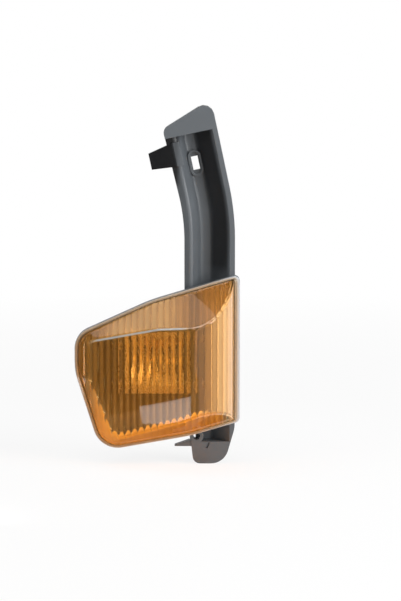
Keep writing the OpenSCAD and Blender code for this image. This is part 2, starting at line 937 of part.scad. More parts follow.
module holder_body() {
    color([0.2, 0.2, 0.21])
        at_bulb() {
            difference() {
                union() {
                    ring(stem_r, 0, lug_y0, flange_y + 1);
                    for (k = [1:LUGS])
                        intersection() {
                            ring(lug_r, 0, lug_y0, lug_y1);
                            sector(lug_turn(k), lug_angle, lug_r, lug_y0 - 1, lug_y1 + 1);
                        }
                    ring(holder_flange_r, 0, flange_y, flange_back);
                    ring(barrel_r, 0, flange_back - 1, barrel_back);
                    for (a = [0, 180])
                        rotate([0, a, 0])
                            translate([barrel_r - 2, flange_back - 1, -1.6])
                                cube([holder_flange_r - barrel_r, barrel_l - 3, 3.2]);
                    translate([-conn_w / 2, barrel_back - 1, -conn_h / 2])
                        cube([conn_w, conn_l + 1, conn_h]);
                }
                ring(stem_r - 2.4, well_r + 2, lug_y0 - 1, flange_y - 0.6);
                ring(well_r, 0, lug_y0 - 1, base_floor);
                translate([-conn_w / 2 + conn_t, barrel_back + 2, -conn_h / 2 + conn_t])
                    cube([conn_w - conn_t * 2, conn_l, conn_h - conn_t * 2]);
                for (s = [-1, 1])
                    translate([s * blade_x - blade_w / 2, base_floor - 1, -blade_t / 2])
                        cube([blade_w, conn_l, blade_t]);
            }
        }
}

module holder_seal() {
    color([0.75, 0.32, 0.12])
        at_bulb()
            ring(holder_flange_r - 1.5, stem_r, shell_back + gap, flange_y);
}

// Bayonet sleeve round the cap, with two slots for its pins
pin_y = base_y - 6.5;
pin_r = 1;
pin_reach = sleeve_out + 0.3;
pin_gap = 0.2;
sleeve_y0 = flange_y - 8;
module holder_sleeve() {
    color([0.75, 0.75, 0.78])
        at_bulb()
            difference() {
                union() {
                    ring(sleeve_out, sleeve_in, sleeve_y0, base_y + 2);
                    ring(well_r, sleeve_in, base_y + 2, base_y + 2 + sleeve_t);
                }
                for (s = [0, 180])
                    rotate([0, s, 0])
                        translate([cap_r / 2, sleeve_y0 - 1, -pin_r - pin_gap])
                            cube([cap_r, pin_y - sleeve_y0 + 1 + pin_r + pin_gap, (pin_r + pin_gap) * 2]);
            }
}

module contact_plunger() {
    color([0.85, 0.8, 0.7])
        at_bulb()
            ring(sleeve_in - 0.6, 0, base_y + contact_h, base_y + contact_h + plunger_l);
}

// Compression spring: a wire swept round the axis
spring_r = 2.6;
wire_r = 0.45;
SPRING_TURNS = 4;
RING_STEPS = 14;
WIRE_SIDES = 8;
module contact_spring() {
    y0 = base_y + contact_h + plunger_l + wire_r;
    rise = spring_l - blade_t - wire_r * 2;
    n = SPRING_TURNS * RING_STEPS;
    points = [
        for (i = [0:n], j = [0:WIRE_SIDES - 1])
            let (a = 360 * i / RING_STEPS, b = 360 * j / WIRE_SIDES, r = spring_r + wire_r * cos(b))
            [r * cos(a), y0 + rise * i / n + wire_r * sin(b), r * sin(a)]
    ];
    faces = concat(
        [[for (j = [WIRE_SIDES - 1:-1:0]) j]],
        [for (i = [0:n - 1], j = [0:WIRE_SIDES - 1])
            let (k = (j + 1) % WIRE_SIDES)
            [i * WIRE_SIDES + j, i * WIRE_SIDES + k, (i + 1) * WIRE_SIDES + k]],
        [for (i = [0:n - 1], j = [0:WIRE_SIDES - 1])
            let (k = (j + 1) % WIRE_SIDES)
            [i * WIRE_SIDES + j, (i + 1) * WIRE_SIDES + k, (i + 1) * WIRE_SIDES + j]],
        [[for (j = [0:WIRE_SIDES - 1]) n * WIRE_SIDES + j]]
    );
    color([0.8, 0.8, 0.82])
        at_bulb()
            polyhedron(points, faces);
}

// Terminals: a blade through the holder's floor, and a foot inside the well
blade_x = well_r - 0.4 - blade_w / 2;
pad_r = spring_r + wire_r + 0.6;
module blade(side) {
    translate([side * blade_x - blade_w / 2, base_floor - blade_t, -blade_t / 2])
        cube([blade_w, conn_l - 2, blade_t]);
}

module live_terminal() {
    color([0.85, 0.7, 0.35])
        at_bulb() {
            blade(1);
            ring(pad_r, 0, base_floor - blade_t, base_floor);
            translate([0, base_floor - blade_t, -pad_r / 2])
                cube([blade_x, blade_t, pad_r]);
        }
}

module earth_terminal() {
    riser = well_r - 0.4;
    color([0.85, 0.7, 0.35])
        at_bulb() {
            blade(-1);
            translate([-riser, base_y + 2 + sleeve_t, -pad_r / 2])
                cube([blade_t, base_floor - base_y - 2 - sleeve_t, pad_r]);
        }
}

// Bulb, from its base outwards
cap_t = 0.5;
cap_mouth = base_y - cap_l;
glass_mid = base_y - bulb_l + glass_r;
neck_r = cap_r - cap_t - 0.1;
insulator_h = 2.2;
stem_y1 = base_y - insulator_h - 4;
module bulb_cap() {
    color([0.8, 0.75, 0.6])
        at_bulb() {
            difference() {
                union() {
                    ring(cap_r, 0, cap_mouth, base_y - 0.8);
                    ring(cap_r - 0.8, 0, base_y - 1, base_y);
                    for (s = [0, 180])
                        rotate([0, s, 0])
                            translate([cap_r - 1, pin_y, 0])
                                rotate([0, 90, 0])
                                    cylinder(r = pin_r, h = pin_reach - cap_r + 1, $fn = 32);
                }
                ring(cap_r - cap_t, 0, cap_mouth - 1, base_y - insulator_h);
                ring(cap_r - 2.4, 0, base_y - insulator_h - 1, base_y + 1);
            }
        }
}

module bulb_insulator() {
    color([0.08, 0.08, 0.09])
        at_bulb()
            ring(cap_r - 2.4, 2.4, base_y - insulator_h, base_y);
}

module bulb_contact() {
    color([0.7, 0.7, 0.68])
        at_bulb() {
            ring(2.4, 0, base_y - insulator_h, base_y);
            ring(3, 0, base_y, base_y + contact_h);
        }
}

// Glass envelope: half section as radius and Y, neck first
GLASS_STEPS = 14;
DOME_FROM = 55;
DOME_TURN = 145;
function dome(r) = [
    for (i = [0:GLASS_STEPS])
        let (a = DOME_FROM - DOME_TURN * i / GLASS_STEPS)
        [r * cos(a), glass_mid + r * sin(a)]
];
function envelope(neck, r) = concat([[neck, stem_y1], [neck, cap_mouth - 1]], dome(r));
module bulb_glass() {
    outer = envelope(neck_r, glass_r);
    inner = envelope(neck_r - glass_t, glass_r - glass_t);
    color([0.9, 0.92, 0.95, 0.4])
        at_bulb()
            rotate([-90, 0, 0])
                rotate_extrude()
                    polygon([
                        for (p = concat(outer, [for (i = [len(inner) - 1:-1:0]) inner[i]]))
                            [max(p[0], 0), p[1]]
                    ]);
}

stem_l = 14;
stem_y0 = stem_y1 - stem_l;
support_x = 3;
support_r = 0.35;
filament_r = 0.6;
filament_y = stem_y0 - 8;
module bulb_stem() {
    color([0.85, 0.88, 0.9, 0.5])
        at_bulb() {
            ring(neck_r - glass_t, 0, stem_y1 - 1.5, stem_y1);
            ring(3.6, 0, stem_y0 + 4, stem_y1 - 1.5);
            translate([-support_x - 1.2, stem_y0, -1.4])
                cube([support_x * 2 + 2.4, 4, 2.8]);
        }
}

module bulb_supports() {
    color([0.6, 0.6, 0.6])
        at_bulb()
            for (s = [-1, 1])
                translate([s * support_x, 0, 0])
                    ring(support_r, 0, filament_y, stem_y0);
}

module bulb_filament() {
    color([0.5, 0.5, 0.5])
        at_bulb()
            translate([-support_x - filament_r, filament_y - filament_r, 0])
                rotate([0, 90, 0])
                    cylinder(r = filament_r, h = (support_x + filament_r) * 2, $fn = 24);
}

housing();
lens();
lens_seal();
reflector();
reflector_screws();
breather_cap();
holder_body();
holder_seal();
holder_sleeve();
contact_plunger();
contact_spring();
live_terminal();
earth_terminal();
bulb_cap();
bulb_glass();
bulb_stem();
bulb_supports();
bulb_filament();
bulb_insulator();
bulb_contact();
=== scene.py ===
"""Looks of a vehicle's corner indicator lamp: amber lens, moulded housing, reflector, bulb and holder."""

import math

import bmesh
import bpy
import numpy as np
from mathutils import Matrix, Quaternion, Vector


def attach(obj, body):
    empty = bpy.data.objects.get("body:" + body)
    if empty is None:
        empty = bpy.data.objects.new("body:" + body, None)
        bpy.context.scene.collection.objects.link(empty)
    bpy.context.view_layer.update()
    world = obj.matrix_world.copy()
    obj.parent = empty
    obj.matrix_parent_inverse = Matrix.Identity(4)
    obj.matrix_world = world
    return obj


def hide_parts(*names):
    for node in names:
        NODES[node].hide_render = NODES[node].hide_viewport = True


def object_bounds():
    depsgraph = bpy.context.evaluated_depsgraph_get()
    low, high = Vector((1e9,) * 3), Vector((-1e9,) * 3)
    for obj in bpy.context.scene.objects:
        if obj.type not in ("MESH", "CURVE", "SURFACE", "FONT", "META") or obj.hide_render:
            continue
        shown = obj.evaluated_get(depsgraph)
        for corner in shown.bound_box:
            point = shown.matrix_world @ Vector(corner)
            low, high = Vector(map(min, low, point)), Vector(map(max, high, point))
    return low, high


bl_info = {
    "name": "Corner indicator lamp",
    "version": (1, 0, 0),
    "blender": (4, 5, 0),
    "location": "3D View > Sidebar > Lamp",
    "description": "Builds the finished pieces of a corner indicator lamp round its CAD frame",
    "category": "Object",
}

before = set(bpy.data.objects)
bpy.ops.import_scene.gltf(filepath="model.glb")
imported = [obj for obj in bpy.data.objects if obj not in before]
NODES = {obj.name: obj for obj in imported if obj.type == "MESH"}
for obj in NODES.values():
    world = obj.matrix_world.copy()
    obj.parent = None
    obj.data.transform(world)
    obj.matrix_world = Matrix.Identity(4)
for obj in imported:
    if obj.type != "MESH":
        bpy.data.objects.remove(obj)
CAD_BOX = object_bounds()
MM = 0.001

# The bracket's strip and its bend in millimetres and radians, as in the part's source
STRIP_RIGHT = 36.5
BEND_Z = 215.0
ARM_LEAN = math.radians(12.0)

# The lens opening's outline in millimetres, as in the part's source
RIM_RIGHT = 41.0
RIM_W = 157.0
RIGHT_LOW = 15.5
RIGHT_H = 142.0
LEFT_TOP = 99.5
LEFT_MID = 64.0
LEFT_LOW = -13.3
LEFT_SLANT = 24.3
TOP_BOW = 6.0
TOP_BOW_AT = 0.46
BOTTOM_BOW = 3.6
BOTTOM_BOW_AT = 0.355
RIM_LEFT = RIM_RIGHT - RIM_W
RIGHT_TOP = RIGHT_LOW + RIGHT_H
LOW_LEFT_X = RIM_LEFT + LEFT_SLANT
RIM_POINTS = np.array(
    [
        (RIM_RIGHT, RIGHT_TOP),
        (RIM_LEFT + RIM_W * TOP_BOW_AT, LEFT_TOP + (RIGHT_TOP - LEFT_TOP) * TOP_BOW_AT + TOP_BOW),
        (RIM_LEFT, LEFT_TOP),
        (RIM_LEFT, LEFT_MID),
        (LOW_LEFT_X, LEFT_LOW),
        (
            RIM_RIGHT - (RIM_RIGHT - LOW_LEFT_X) * BOTTOM_BOW_AT,
            RIGHT_LOW - (RIGHT_LOW - LEFT_LOW) * BOTTOM_BOW_AT - BOTTOM_BOW,
        ),
        (RIM_RIGHT, RIGHT_LOW),
    ]
)
RIM_SIDES = len(RIM_POINTS)
RIM_RADII = np.array([5.0, 150.0, 21.0, 60.0, 24.0, 150.0, 5.0])
LENS_RADII = np.minimum(RIM_RADII, 50.0)
INSIDE_RIM = (-20.0, 75.0)

# How far each side's wall leans in, and each corner's radius shrinks, in a millimetre of depth
DRAFTS = np.array([0.475, 0.475, 0.6, 0.6, 0.4, 0.4, 0.12])
NO_DRAFT = np.zeros(RIM_SIDES)
RADIUS_SHRINK = 0.4

# The lens's face, wrap and flange in millimetres, as in the part's source
SEAT_Y = -4.0
FACE_SLOPE = 0.41
WRAP_DEPTH = 58.0
WRAP_W = 33.5
WRAP_INSET = 1.0
WRAP_X = STRIP_RIGHT - WRAP_INSET - WRAP_W
WRAP_FROM = -math.atan(FACE_SLOPE * WRAP_W / WRAP_DEPTH)
WRAP_FLUTES = 9
FLANGE_T = 2.5
FLANGE_INSET = 0.2
FLANGE_LEDGE = 1.8
SKIRT = FLANGE_INSET + FLANGE_LEDGE
TONGUE_IN = 2.3
TONGUE_T = 1.8
TONGUE_L = 3.5

# The bulb's axis, and the reflector's screws right of and above it, in millimetres
BULB = Vector((-37.5, 0.0, 72.4))
SCREWS_AT = [(-33, -23), (33, -23), (-33, 15), (33, 21)]

# Turns that lay a shape's own Z axis back into the lamp, and to the right
TOWARDS_BACK = (-math.pi / 2, 0.0, 0.0)
TOWARDS_RIGHT = (0.0, math.pi / 2, 0.0)

# Angle in degrees between two faces from which their edge is sharp
MOULDED_SHARP = 32.0
SCREW_SHARP = 35.0
LENS_SHARP = 40.0
WIRE_SHARP = 80.0

# What all the length properties share, and all the colours
LENGTH = {"subtype": "DISTANCE", "unit": "LENGTH"}
COLOUR = {"size": 3, "subtype": "COLOR", "min": 0, "max": 1}


class LampSizes(bpy.types.PropertyGroup):
    """Sizes of the finished pieces."""

    lens_wall: bpy.props.FloatProperty(
        name="Lens wall",
        description="Thickness of the lens",
        default=3.0 * MM,
        min=2.5 * MM,
        max=3.5 * MM,
        **LENGTH,
    )
    flute_pitch: bpy.props.FloatProperty(
        name="Flute pitch",
        description="Pitch of the lens's inner flutes",
        default=6.2 * MM,
        min=5.0 * MM,
        max=8.0 * MM,
        **LENGTH,
    )
    flute_height: bpy.props.FloatProperty(
        name="Flute height",
        description="Height of the flutes",
        default=1.0 * MM,
        min=0.6 * MM,
        max=1.3 * MM,
        **LENGTH,
    )
    teeth: bpy.props.FloatProperty(
        name="Tooth height",
        description="How far the lower wall's flutes show up the front face",
        default=4.5 * MM,
        min=0.0,
        max=8.0 * MM,
        **LENGTH,
    )
    crease: bpy.props.FloatProperty(
        name="Crease softness",
        description="Depth over which the lens's edges round off",
        default=4.0 * MM,
        min=1.0 * MM,
        max=8.0 * MM,
        **LENGTH,
    )
    edge: bpy.props.FloatProperty(
        name="Edge radius",
        description="Radius of the housing's moulded edges",
        default=0.6 * MM,
        min=0.2 * MM,
        max=1.5 * MM,
        **LENGTH,
    )


class LampFinishes(bpy.types.PropertyGroup):
    """Colours of the finishes."""

    amber: bpy.props.FloatVectorProperty(
        name="Amber",
        description="Colour that white light takes on through the lens",
        default=(0.97, 0.6, 0.22),
        **COLOUR,
    )
    black: bpy.props.FloatVectorProperty(
        name="Housing black", description="Colour of the housing", default=(0.088, 0.098, 0.108), **COLOUR
    )
    # Painted shade colour for the arm's trough side wall and tab
    trough_shade: bpy.props.FloatVectorProperty(
        name="Trough black",
        description="Colour of the smooth side wall and tab of the arm",
        default=(0.014, 0.015, 0.017),
        **COLOUR,
    )
    rubber: bpy.props.FloatVectorProperty(
        name="Seal rubber", description="Colour of the seals", default=(0.03, 0.03, 0.032), **COLOUR
    )
    silicone: bpy.props.FloatVectorProperty(
        name="Holder seal", description="Colour of the bulb holder's seal", default=(0.5, 0.13, 0.04), **COLOUR
    )
    backdrop: bpy.props.FloatVectorProperty(
        name="Backdrop", description="Colour of the floor and backdrop", default=(0.9, 0.9, 0.9), **COLOUR
    )


def in_mm(length):
    """A length property in millimetres, without the property's own rounding."""
    return round(length / MM, 4)


# Nodes of materials and of shapes


def feed(tree, socket, value):
    """Links another node's output to a socket, or sets the socket to a plain value."""
    if isinstance(value, bpy.types.NodeSocket):
        tree.links.new(value, socket)
    elif socket.type == "RGBA":
        socket.default_value = (*value, 1)
    else:
        socket.default_value = value


def add_node(tree, kind, **feeds):
    """A node with its inputs fed, each by the input's name with _ for a space."""
    made = tree.nodes.new(kind)
    for label, value in feeds.items():
        feed(tree, made.inputs[label.replace("_", " ")], value)
    return made


def combined(tree, operation, *values):
    """The result of a sum or comparison of values."""
    made = tree.nodes.new("ShaderNodeMath")
    made.operation = operation
    for socket, value in zip(made.inputs, values):
        feed(tree, socket, value)
    return made.outputs[0]


# Materials


def new_material(name):
    """A material, its nodes and its surface shader."""
    mat = bpy.data.materials.new(name)
    mat.use_nodes = True
    tree = mat.node_tree
    return mat, tree, tree.nodes["Principled BSDF"]


def object_place(tree):
    """Place on the piece, in metres from the part's origin."""
    return add_node(tree, "ShaderNodeTexCoord").outputs["Object"]


def unevenness(tree, scale, detail, stretch=(1, 1, 1)):
    """A cloudy pattern about 0.5, with so many clouds in a metre."""
    place = add_node(tree, "ShaderNodeMapping", Vector=object_place(tree), Scale=stretch)
    return add_node(tree, "ShaderNodeTexNoise", Vector=place.outputs[0], Scale=scale, Detail=detail).outputs["Fac"]


def ramp(tree, value, low, high, start=0.35, end=0.65):
    """Goes from low to high while the value goes from start to end, and stays level beyond."""
    made = add_node(
        tree, "ShaderNodeMapRange", Value=value, From_Min=start, From_Max=end, To_Min=low, To_Max=high
    )
    return made.outputs["Result"]


def mixed(tree, share, first, second):
    """A colour that turns from the first into the second as the share goes from 0 to 1."""
    made = tree.nodes.new("ShaderNodeMix")
    made.data_type = "RGBA"
    factor, colour_a, colour_b = made.inputs[0], made.inputs[6], made.inputs[7]
    for socket, value in ((factor, share), (colour_a, first), (colour_b, second)):
        feed(tree, socket, value)
    return made.outputs[2]


def mix_into(tree, shader, share, colour):
    """Mixes a colour into the one that the shader already has."""
    present = shader.inputs["Base Color"].links[0].from_socket
    feed(tree, shader.inputs["Base Color"], mixed(tree, share, present, colour))


def colour_steps(tree, value, *steps):
    """A colour that goes through steps, each (value, colour)."""
    made = add_node(tree, "ShaderNodeValToRGB", Fac=value)
    elements = made.color_ramp.elements
    while len(elements) < len(steps):
        elements.new(0.5)
    for element, (place, colour) in zip(elements, steps):
        element.position = place
        element.color = (*colour, 1)
    return made.outputs["Color"]


def marked(tree, name):
    """A value that the mesh carries at each of its points."""
    made = tree.nodes.new("ShaderNodeAttribute")
    made.attribute_name = name
    return made.outputs["Fac"]


def tint(tree, shader, pattern, colour, dark, light):
    """Lets the colour swing between two strengths with a pattern."""
    swing = mixed(tree, pattern, scaled(colour, dark), scaled(colour, light))
    feed(tree, shader.inputs["Base Color"], swing)


def scaled(colour, strength):
    """A colour made darker or lighter, never past full strength."""
    return tuple(min(c * strength, 1.0) for c in colour)


def bump(tree, shader, pattern, strength, height, soft_edge=0.0):
    """Raises the surface with a pattern, and rounds its edges where a radius is given."""
    raised = add_node(tree, "ShaderNodeBump", Strength=strength, Distance=height, Height=pattern)
    if soft_edge:
        rounded = add_node(tree, "ShaderNodeBevel", Radius=soft_edge)
        rounded.samples = 6
        feed(tree, raised.inputs["Normal"], rounded.outputs["Normal"])
    feed(tree, shader.inputs["Normal"], raised.outputs["Normal"])


def moulded_plastic(name, colour, rough, soft_edge=0.6 * MM):
    """Moulding with a fine grain and rounded edges."""
    mat, tree, shader = new_material(name)
    grain = unevenness(tree, 1400.0, 2.0)
    clouds = unevenness(tree, 38.0, 4.0)
    tint(tree, shader, clouds, colour, 0.88, 1.14)
    feed(tree, shader.inputs["Roughness"], ramp(tree, clouds, rough - 0.05, rough + 0.06))
    bump(tree, shader, grain, 0.12, 0.12 * MM, soft_edge)
    return mat


def paint_trough_shade(mat, shade_colour):
    """Paints shade into the housing's colour on the arm's trough side wall and on its tab, behind the front faces,
    which stay lighter.
    """
    tree = mat.node_tree
    x, y, z = add_node(tree, "ShaderNodeSeparateXYZ", Vector=object_place(tree)).outputs

    def fade_in(value, start, end):
        return ramp(tree, value, 0.0, 1.0, start * MM, end * MM)

    past_bend = combined(tree, "MAXIMUM", combined(tree, "SUBTRACT", z, BEND_Z * MM), 0.0)
    across = combined(tree, "ADD", x, combined(tree, "MULTIPLY", past_bend, math.tan(ARM_LEAN)))
    wall = combined(tree, "MULTIPLY", fade_in(across, 5, 17), fade_in(z, 140, 165))
    tab = combined(tree, "MULTIPLY", fade_in(x, -15, -19), fade_in(z, 238, 243))
    behind_front = combined(tree, "MULTIPLY", fade_in(y, 0.5, 3), fade_in(y, 24, 20))
    share = combined(tree, "MULTIPLY", combined(tree, "MAXIMUM", wall, tab), behind_front)
    # Painted shade mixed into the housing's colour where the trough's wall or the tab lies behind the front faces
    mix_into(tree, tree.nodes["Principled BSDF"], share, shade_colour)


def soft_rubber(name, colour):
    """Matt rubber."""
    mat, tree, shader = new_material(name)
    grain = unevenness(tree, 900.0, 3.0)
    tint(tree, shader, grain, colour, 0.8, 1.2)
    feed(tree, shader.inputs["Roughness"], ramp(tree, grain, 0.62, 0.78))
    bump(tree, shader, grain, 0.2, 0.1 * MM, 0.3 * MM)
    return mat


def plated_metal(name, colour, rough, brushed=(1, 1, 1)):
    """Metal with a fine grain, drawn out where it is brushed."""
    mat, tree, shader = new_material(name)
    grain = unevenness(tree, 420.0, 3.0, brushed)
    tint(tree, shader, grain, colour, 0.86, 1.08)
    feed(tree, shader.inputs["Roughness"], ramp(tree, grain, rough * 0.75, rough * 1.35))
    shader.inputs["Metallic"].default_value = 1.0
    bump(tree, shader, grain, 0.08, 0.05 * MM, 0.2 * MM)
    return mat


def mix_shaders(tree, share, first, second, output="Material Output"):
    """Ends a material or world in its first shader at share 0 and its second at share 1."""
    mix = tree.nodes.new("ShaderNodeMixShader")
    for socket, value in zip(mix.inputs, (share, first, second)):
        feed(tree, socket, value)
    feed(tree, tree.nodes[output].inputs["Surface"], mix.outputs[0])


def let_lamps_through(tree, shader, colour):
    """Shadow rays pass the piece tinted, so that what lies behind it is lit."""
    clear = add_node(tree, "ShaderNodeBsdfTransparent", Color=colour)
    shadow_ray = add_node(tree, "ShaderNodeLightPath").outputs["Is Shadow Ray"]
    mix_shaders(tree, shadow_ray, shader.outputs[0], clear.outputs[0])


def amber_plastic(colour):
    """Clear amber, which looks milky where the mesh is marked as scattering light, and where painted highlights
    and a painted reflection are marked on it.
    """
    mat, tree, shader = new_material("amber_plastic")
    tint(tree, shader, unevenness(tree, 22.0, 2.0), colour, 0.97, 1.02)
    shader.inputs["Roughness"].default_value = 0.03
    shader.inputs["IOR"].default_value = 1.49
    # The marks hold real scattering together with painted highlights and a painted reflection
    scatter_and_painted = marked(tree, "scatter_and_painted_light")
    feed(tree, shader.inputs["Transmission Weight"], ramp(tree, scatter_and_painted, 1.0, 0.0, 0.0, 1.0))
    warm, cool, pale = (0.88, 0.5, 0.12), (0.1, 0.36, 0.58), (0.5, 0.63, 0.78)
    milky = colour_steps(tree, marked(tree, "pale"), (0, warm), (0.5, cool), (1, pale))
    mix_into(tree, shader, scatter_and_painted, milky)
    let_lamps_through(tree, shader, tuple(math.sqrt(c) for c in colour))
    return mat


def bulb_glass(name):
    """Clear blown glass, a little uneven."""
    mat, tree, shader = new_material(name)
    shader.inputs["Base Color"].default_value = (0.97, 0.98, 0.98, 1)
    shader.inputs["IOR"].default_value = 1.5
    shader.inputs["Transmission Weight"].default_value = 1.0
    feed(tree, shader.inputs["Roughness"], ramp(tree, unevenness(tree, 60.0, 2.0), 0.01, 0.04))
    let_lamps_through(tree, shader, (0.94, 0.95, 0.95))
    return mat


def finish_node(node, mat):
    """Gives a CAD node a finish through its own material slots."""
    slots = NODES[node].material_slots
    if not slots:
        NODES[node].data.materials.append(mat)
    for slot in slots:
        slot.material = mat


# Meshes


def mesh_piece(name, verts, faces, mat, sharp_deg, marks):
    """A finished piece from points in millimetres, with its marks on them and its faces turned outwards."""
    mesh = bpy.data.meshes.new(name)
    mesh.from_pydata([tuple(float(c) * MM for c in v) for v in verts], [], faces)
    for mark, values in marks.items():
        mesh.attributes.new(mark, "FLOAT", "POINT").data.foreach_set("value", values)
    obj = new_object(name, mesh)
    bm = bmesh.new()
    bm.from_mesh(mesh)
    bmesh.ops.remove_doubles(bm, verts=bm.verts, dist=1e-7)
    bmesh.ops.recalc_face_normals(bm, faces=bm.faces)
    bm.to_mesh(mesh)
    bm.free()
    finish_mesh(mesh, mat, sharp_deg)
    return obj


def new_object(name, data):
    """An object at the origin, in the scene."""
    obj = bpy.data.objects.new(name, data)
    bpy.context.scene.collection.objects.link(obj)
    return obj


def finish_mesh(mesh, mat, sharp_deg):
    """Gives a mesh its one material and smooth shading between its sharp edges."""
    mesh.materials.clear()
    mesh.materials.append(mat)
    mesh.polygons.foreach_set("use_smooth", [True] * len(mesh.polygons))
    mesh.set_sharp_from_angle(angle=math.radians(sharp_deg))
    mesh.update()


def replace_node(piece, body, slot, *nodes):
    """Hides the CAD nodes and lets a finished piece in their place move with their body."""
    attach(piece, body)
    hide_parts(*nodes)


def even_shading(obj):
    """Lets large faces set the shading of the narrow ones beside them."""
    even = obj.modifiers.new("even", "WEIGHTED_NORMAL")
    even.keep_sharp = True
    apply_modifiers(obj)


def apply_modifiers(obj):
    """Turns what the modifiers make into the object's own plain mesh."""
    graph = bpy.context.evaluated_depsgraph_get()
    made = bpy.data.meshes.new_from_object(obj.evaluated_get(graph))
    obj.modifiers.clear()
    made.name = obj.data.name
    obj.data = made


def cut_out_bend(bm, cuts):
    """Takes the strip out between two planes, and gives the open edges that it leaves at each."""
    (normal_a, level_a), (normal_b, level_b) = cuts
    for normal, level in cuts:
        geom = bm.verts[:] + bm.edges[:] + bm.faces[:]
        bmesh.ops.bisect_plane(bm, geom=geom, dist=1e-7, plane_co=normal * level, plane_no=normal)
    middles = [(f, f.calc_center_median()) for f in bm.faces]
    bend = [f for f, m in middles if m.dot(normal_a) > level_a and m.dot(normal_b) < level_b]
    bmesh.ops.delete(bm, geom=bend, context="FACES")
    open_edges = [e for e in bm.edges if len(e.link_faces) == 1]
    return [
        [e for e in open_edges if all(abs(v.co.dot(normal) - level) < 1e-6 for v in e.verts)]
        for normal, level in cuts
    ]


def round_bend(bm, reach=25.0 * MM, steps=14, edge_band=4.0 * MM):
    """Sweeps the bracket's strip along an arc in place of its mitred bend."""
    corner = Vector((STRIP_RIGHT, 0, BEND_Z)) * MM
    along = Vector((-math.sin(ARM_LEAN), 0, math.cos(ARM_LEAN)))
    across = Vector((math.cos(ARM_LEAN), 0, math.sin(ARM_LEAN)))
    upright = Vector((0, 0, 1))
    lower, upper = cut_out_bend(bm, ((upright, corner.z - reach), (along, corner.dot(along) + reach)))
    left = min(v.co.x for e in lower for v in e.verts)
    left_above = min((v.co - corner).dot(across) for e in upper for v in e.verts)
    flare = left_above - (left - corner.x)
    radius = reach / math.tan(ARM_LEAN / 2)
    directed = [(e.link_loops[0].vert, e.link_loops[0].link_loop_next.vert) for e in lower]
    ring = {v: v for pair in directed for v in pair}
    for k in range(1, steps + 1):
        turn = ARM_LEAN * k / steps
        new = {}
        for v in ring:
            run = v.co.x - corner.x
            run += flare * k / steps if v.co.x < left + edge_band else 0
            far = radius + run
            place = (corner.x - radius + far * math.cos(turn), v.co.y, corner.z - reach + far * math.sin(turn))
            new[v] = bm.verts.new(place)
        for a, b in directed:
            bm.faces.new((ring[b], ring[a], new[a], new[b]))
        ring = new
    meeting = dict.fromkeys(list(ring.values()) + [v for e in upper for v in e.verts])
    bmesh.ops.remove_doubles(bm, verts=list(meeting), dist=0.03 * MM)


def smooth_copy(cad_node, name, mat, reshape=None):
    """A copy of a CAD node with its corners merged and its round faces shaded smooth."""
    mesh = NODES[cad_node].data.copy()
    mesh.name = name
    obj = new_object(name, mesh)
    bm = bmesh.new()
    bm.from_mesh(mesh)
    bmesh.ops.remove_doubles(bm, verts=bm.verts, dist=2e-6)
    bmesh.ops.dissolve_degenerate(bm, edges=bm.edges, dist=1e-6)
    if reshape:
        reshape(bm)
    flat = math.radians(0.04)
    bmesh.ops.dissolve_limit(bm, angle_limit=flat, verts=bm.verts, edges=bm.edges, delimit={"NORMAL"})
    bm.to_mesh(mesh)
    bm.free()
    finish_mesh(mesh, mat, MOULDED_SHARP)
    even_shading(obj)
    return obj


# Shape trees for wound wire and threaded screws


def new_tree(name, **sizes):
    """An empty Geometry Nodes tree with a named input for each size, a turn and a material."""
    tree = bpy.data.node_groups.new(name, "GeometryNodeTree")
    face = tree.interface
    face.new_socket("Geometry", in_out="INPUT", socket_type="NodeSocketGeometry")
    for label, value in sizes.items():
        socket = face.new_socket(label.replace("_", " "), in_out="INPUT", socket_type="NodeSocketFloat")
        socket.default_value = value
    face.new_socket("Turn", in_out="INPUT", socket_type="NodeSocketRotation")
    face.new_socket("Material", in_out="INPUT", socket_type="NodeSocketMaterial")
    face.new_socket("Geometry", in_out="OUTPUT", socket_type="NodeSocketGeometry")
    return tree, tree.nodes.new("NodeGroupInput").outputs


def wound_wire(tree, turns, radius, wire, height, steps=16, sides=8):
    """Round wire along a coil, with closed ends."""
    spiral = add_node(
        tree,
        "GeometryNodeCurveSpiral",
        Resolution=steps,
        Rotations=turns,
        Start_Radius=radius,
        End_Radius=radius,
        Height=height,
    )
    section = add_node(tree, "GeometryNodeCurvePrimitiveCircle", Resolution=sides, Radius=wire)
    swept = add_node(
        tree, "GeometryNodeCurveToMesh", Curve=spiral.outputs[0], Profile_Curve=section.outputs[0], Fill_Caps=True
    )
    return swept.outputs[0]


def placed_on_points(tree, given, shape):
    """Ends a tree: one shape on each point, made real, with its material."""
    on = add_node(
        tree, "GeometryNodeInstanceOnPoints", Points=given["Geometry"], Instance=shape, Rotation=given["Turn"]
    )
    real = add_node(tree, "GeometryNodeRealizeInstances", Geometry=on.outputs[0])
    done = add_node(tree, "GeometryNodeSetMaterial", Geometry=real.outputs[0], Material=given["Material"])
    add_node(tree, "NodeGroupOutput", Geometry=done.outputs[0])


def coil_tree():
    """Wire wound in an even coil."""
    tree, given = new_tree("wound coil", Turns=4.0, Radius=2.6 * MM, Wire=0.45 * MM, Height=5.0 * MM)
    wire = wound_wire(tree, given["Turns"], given["Radius"], given["Wire"], given["Height"])
    placed_on_points(tree, given, wire)
    return tree


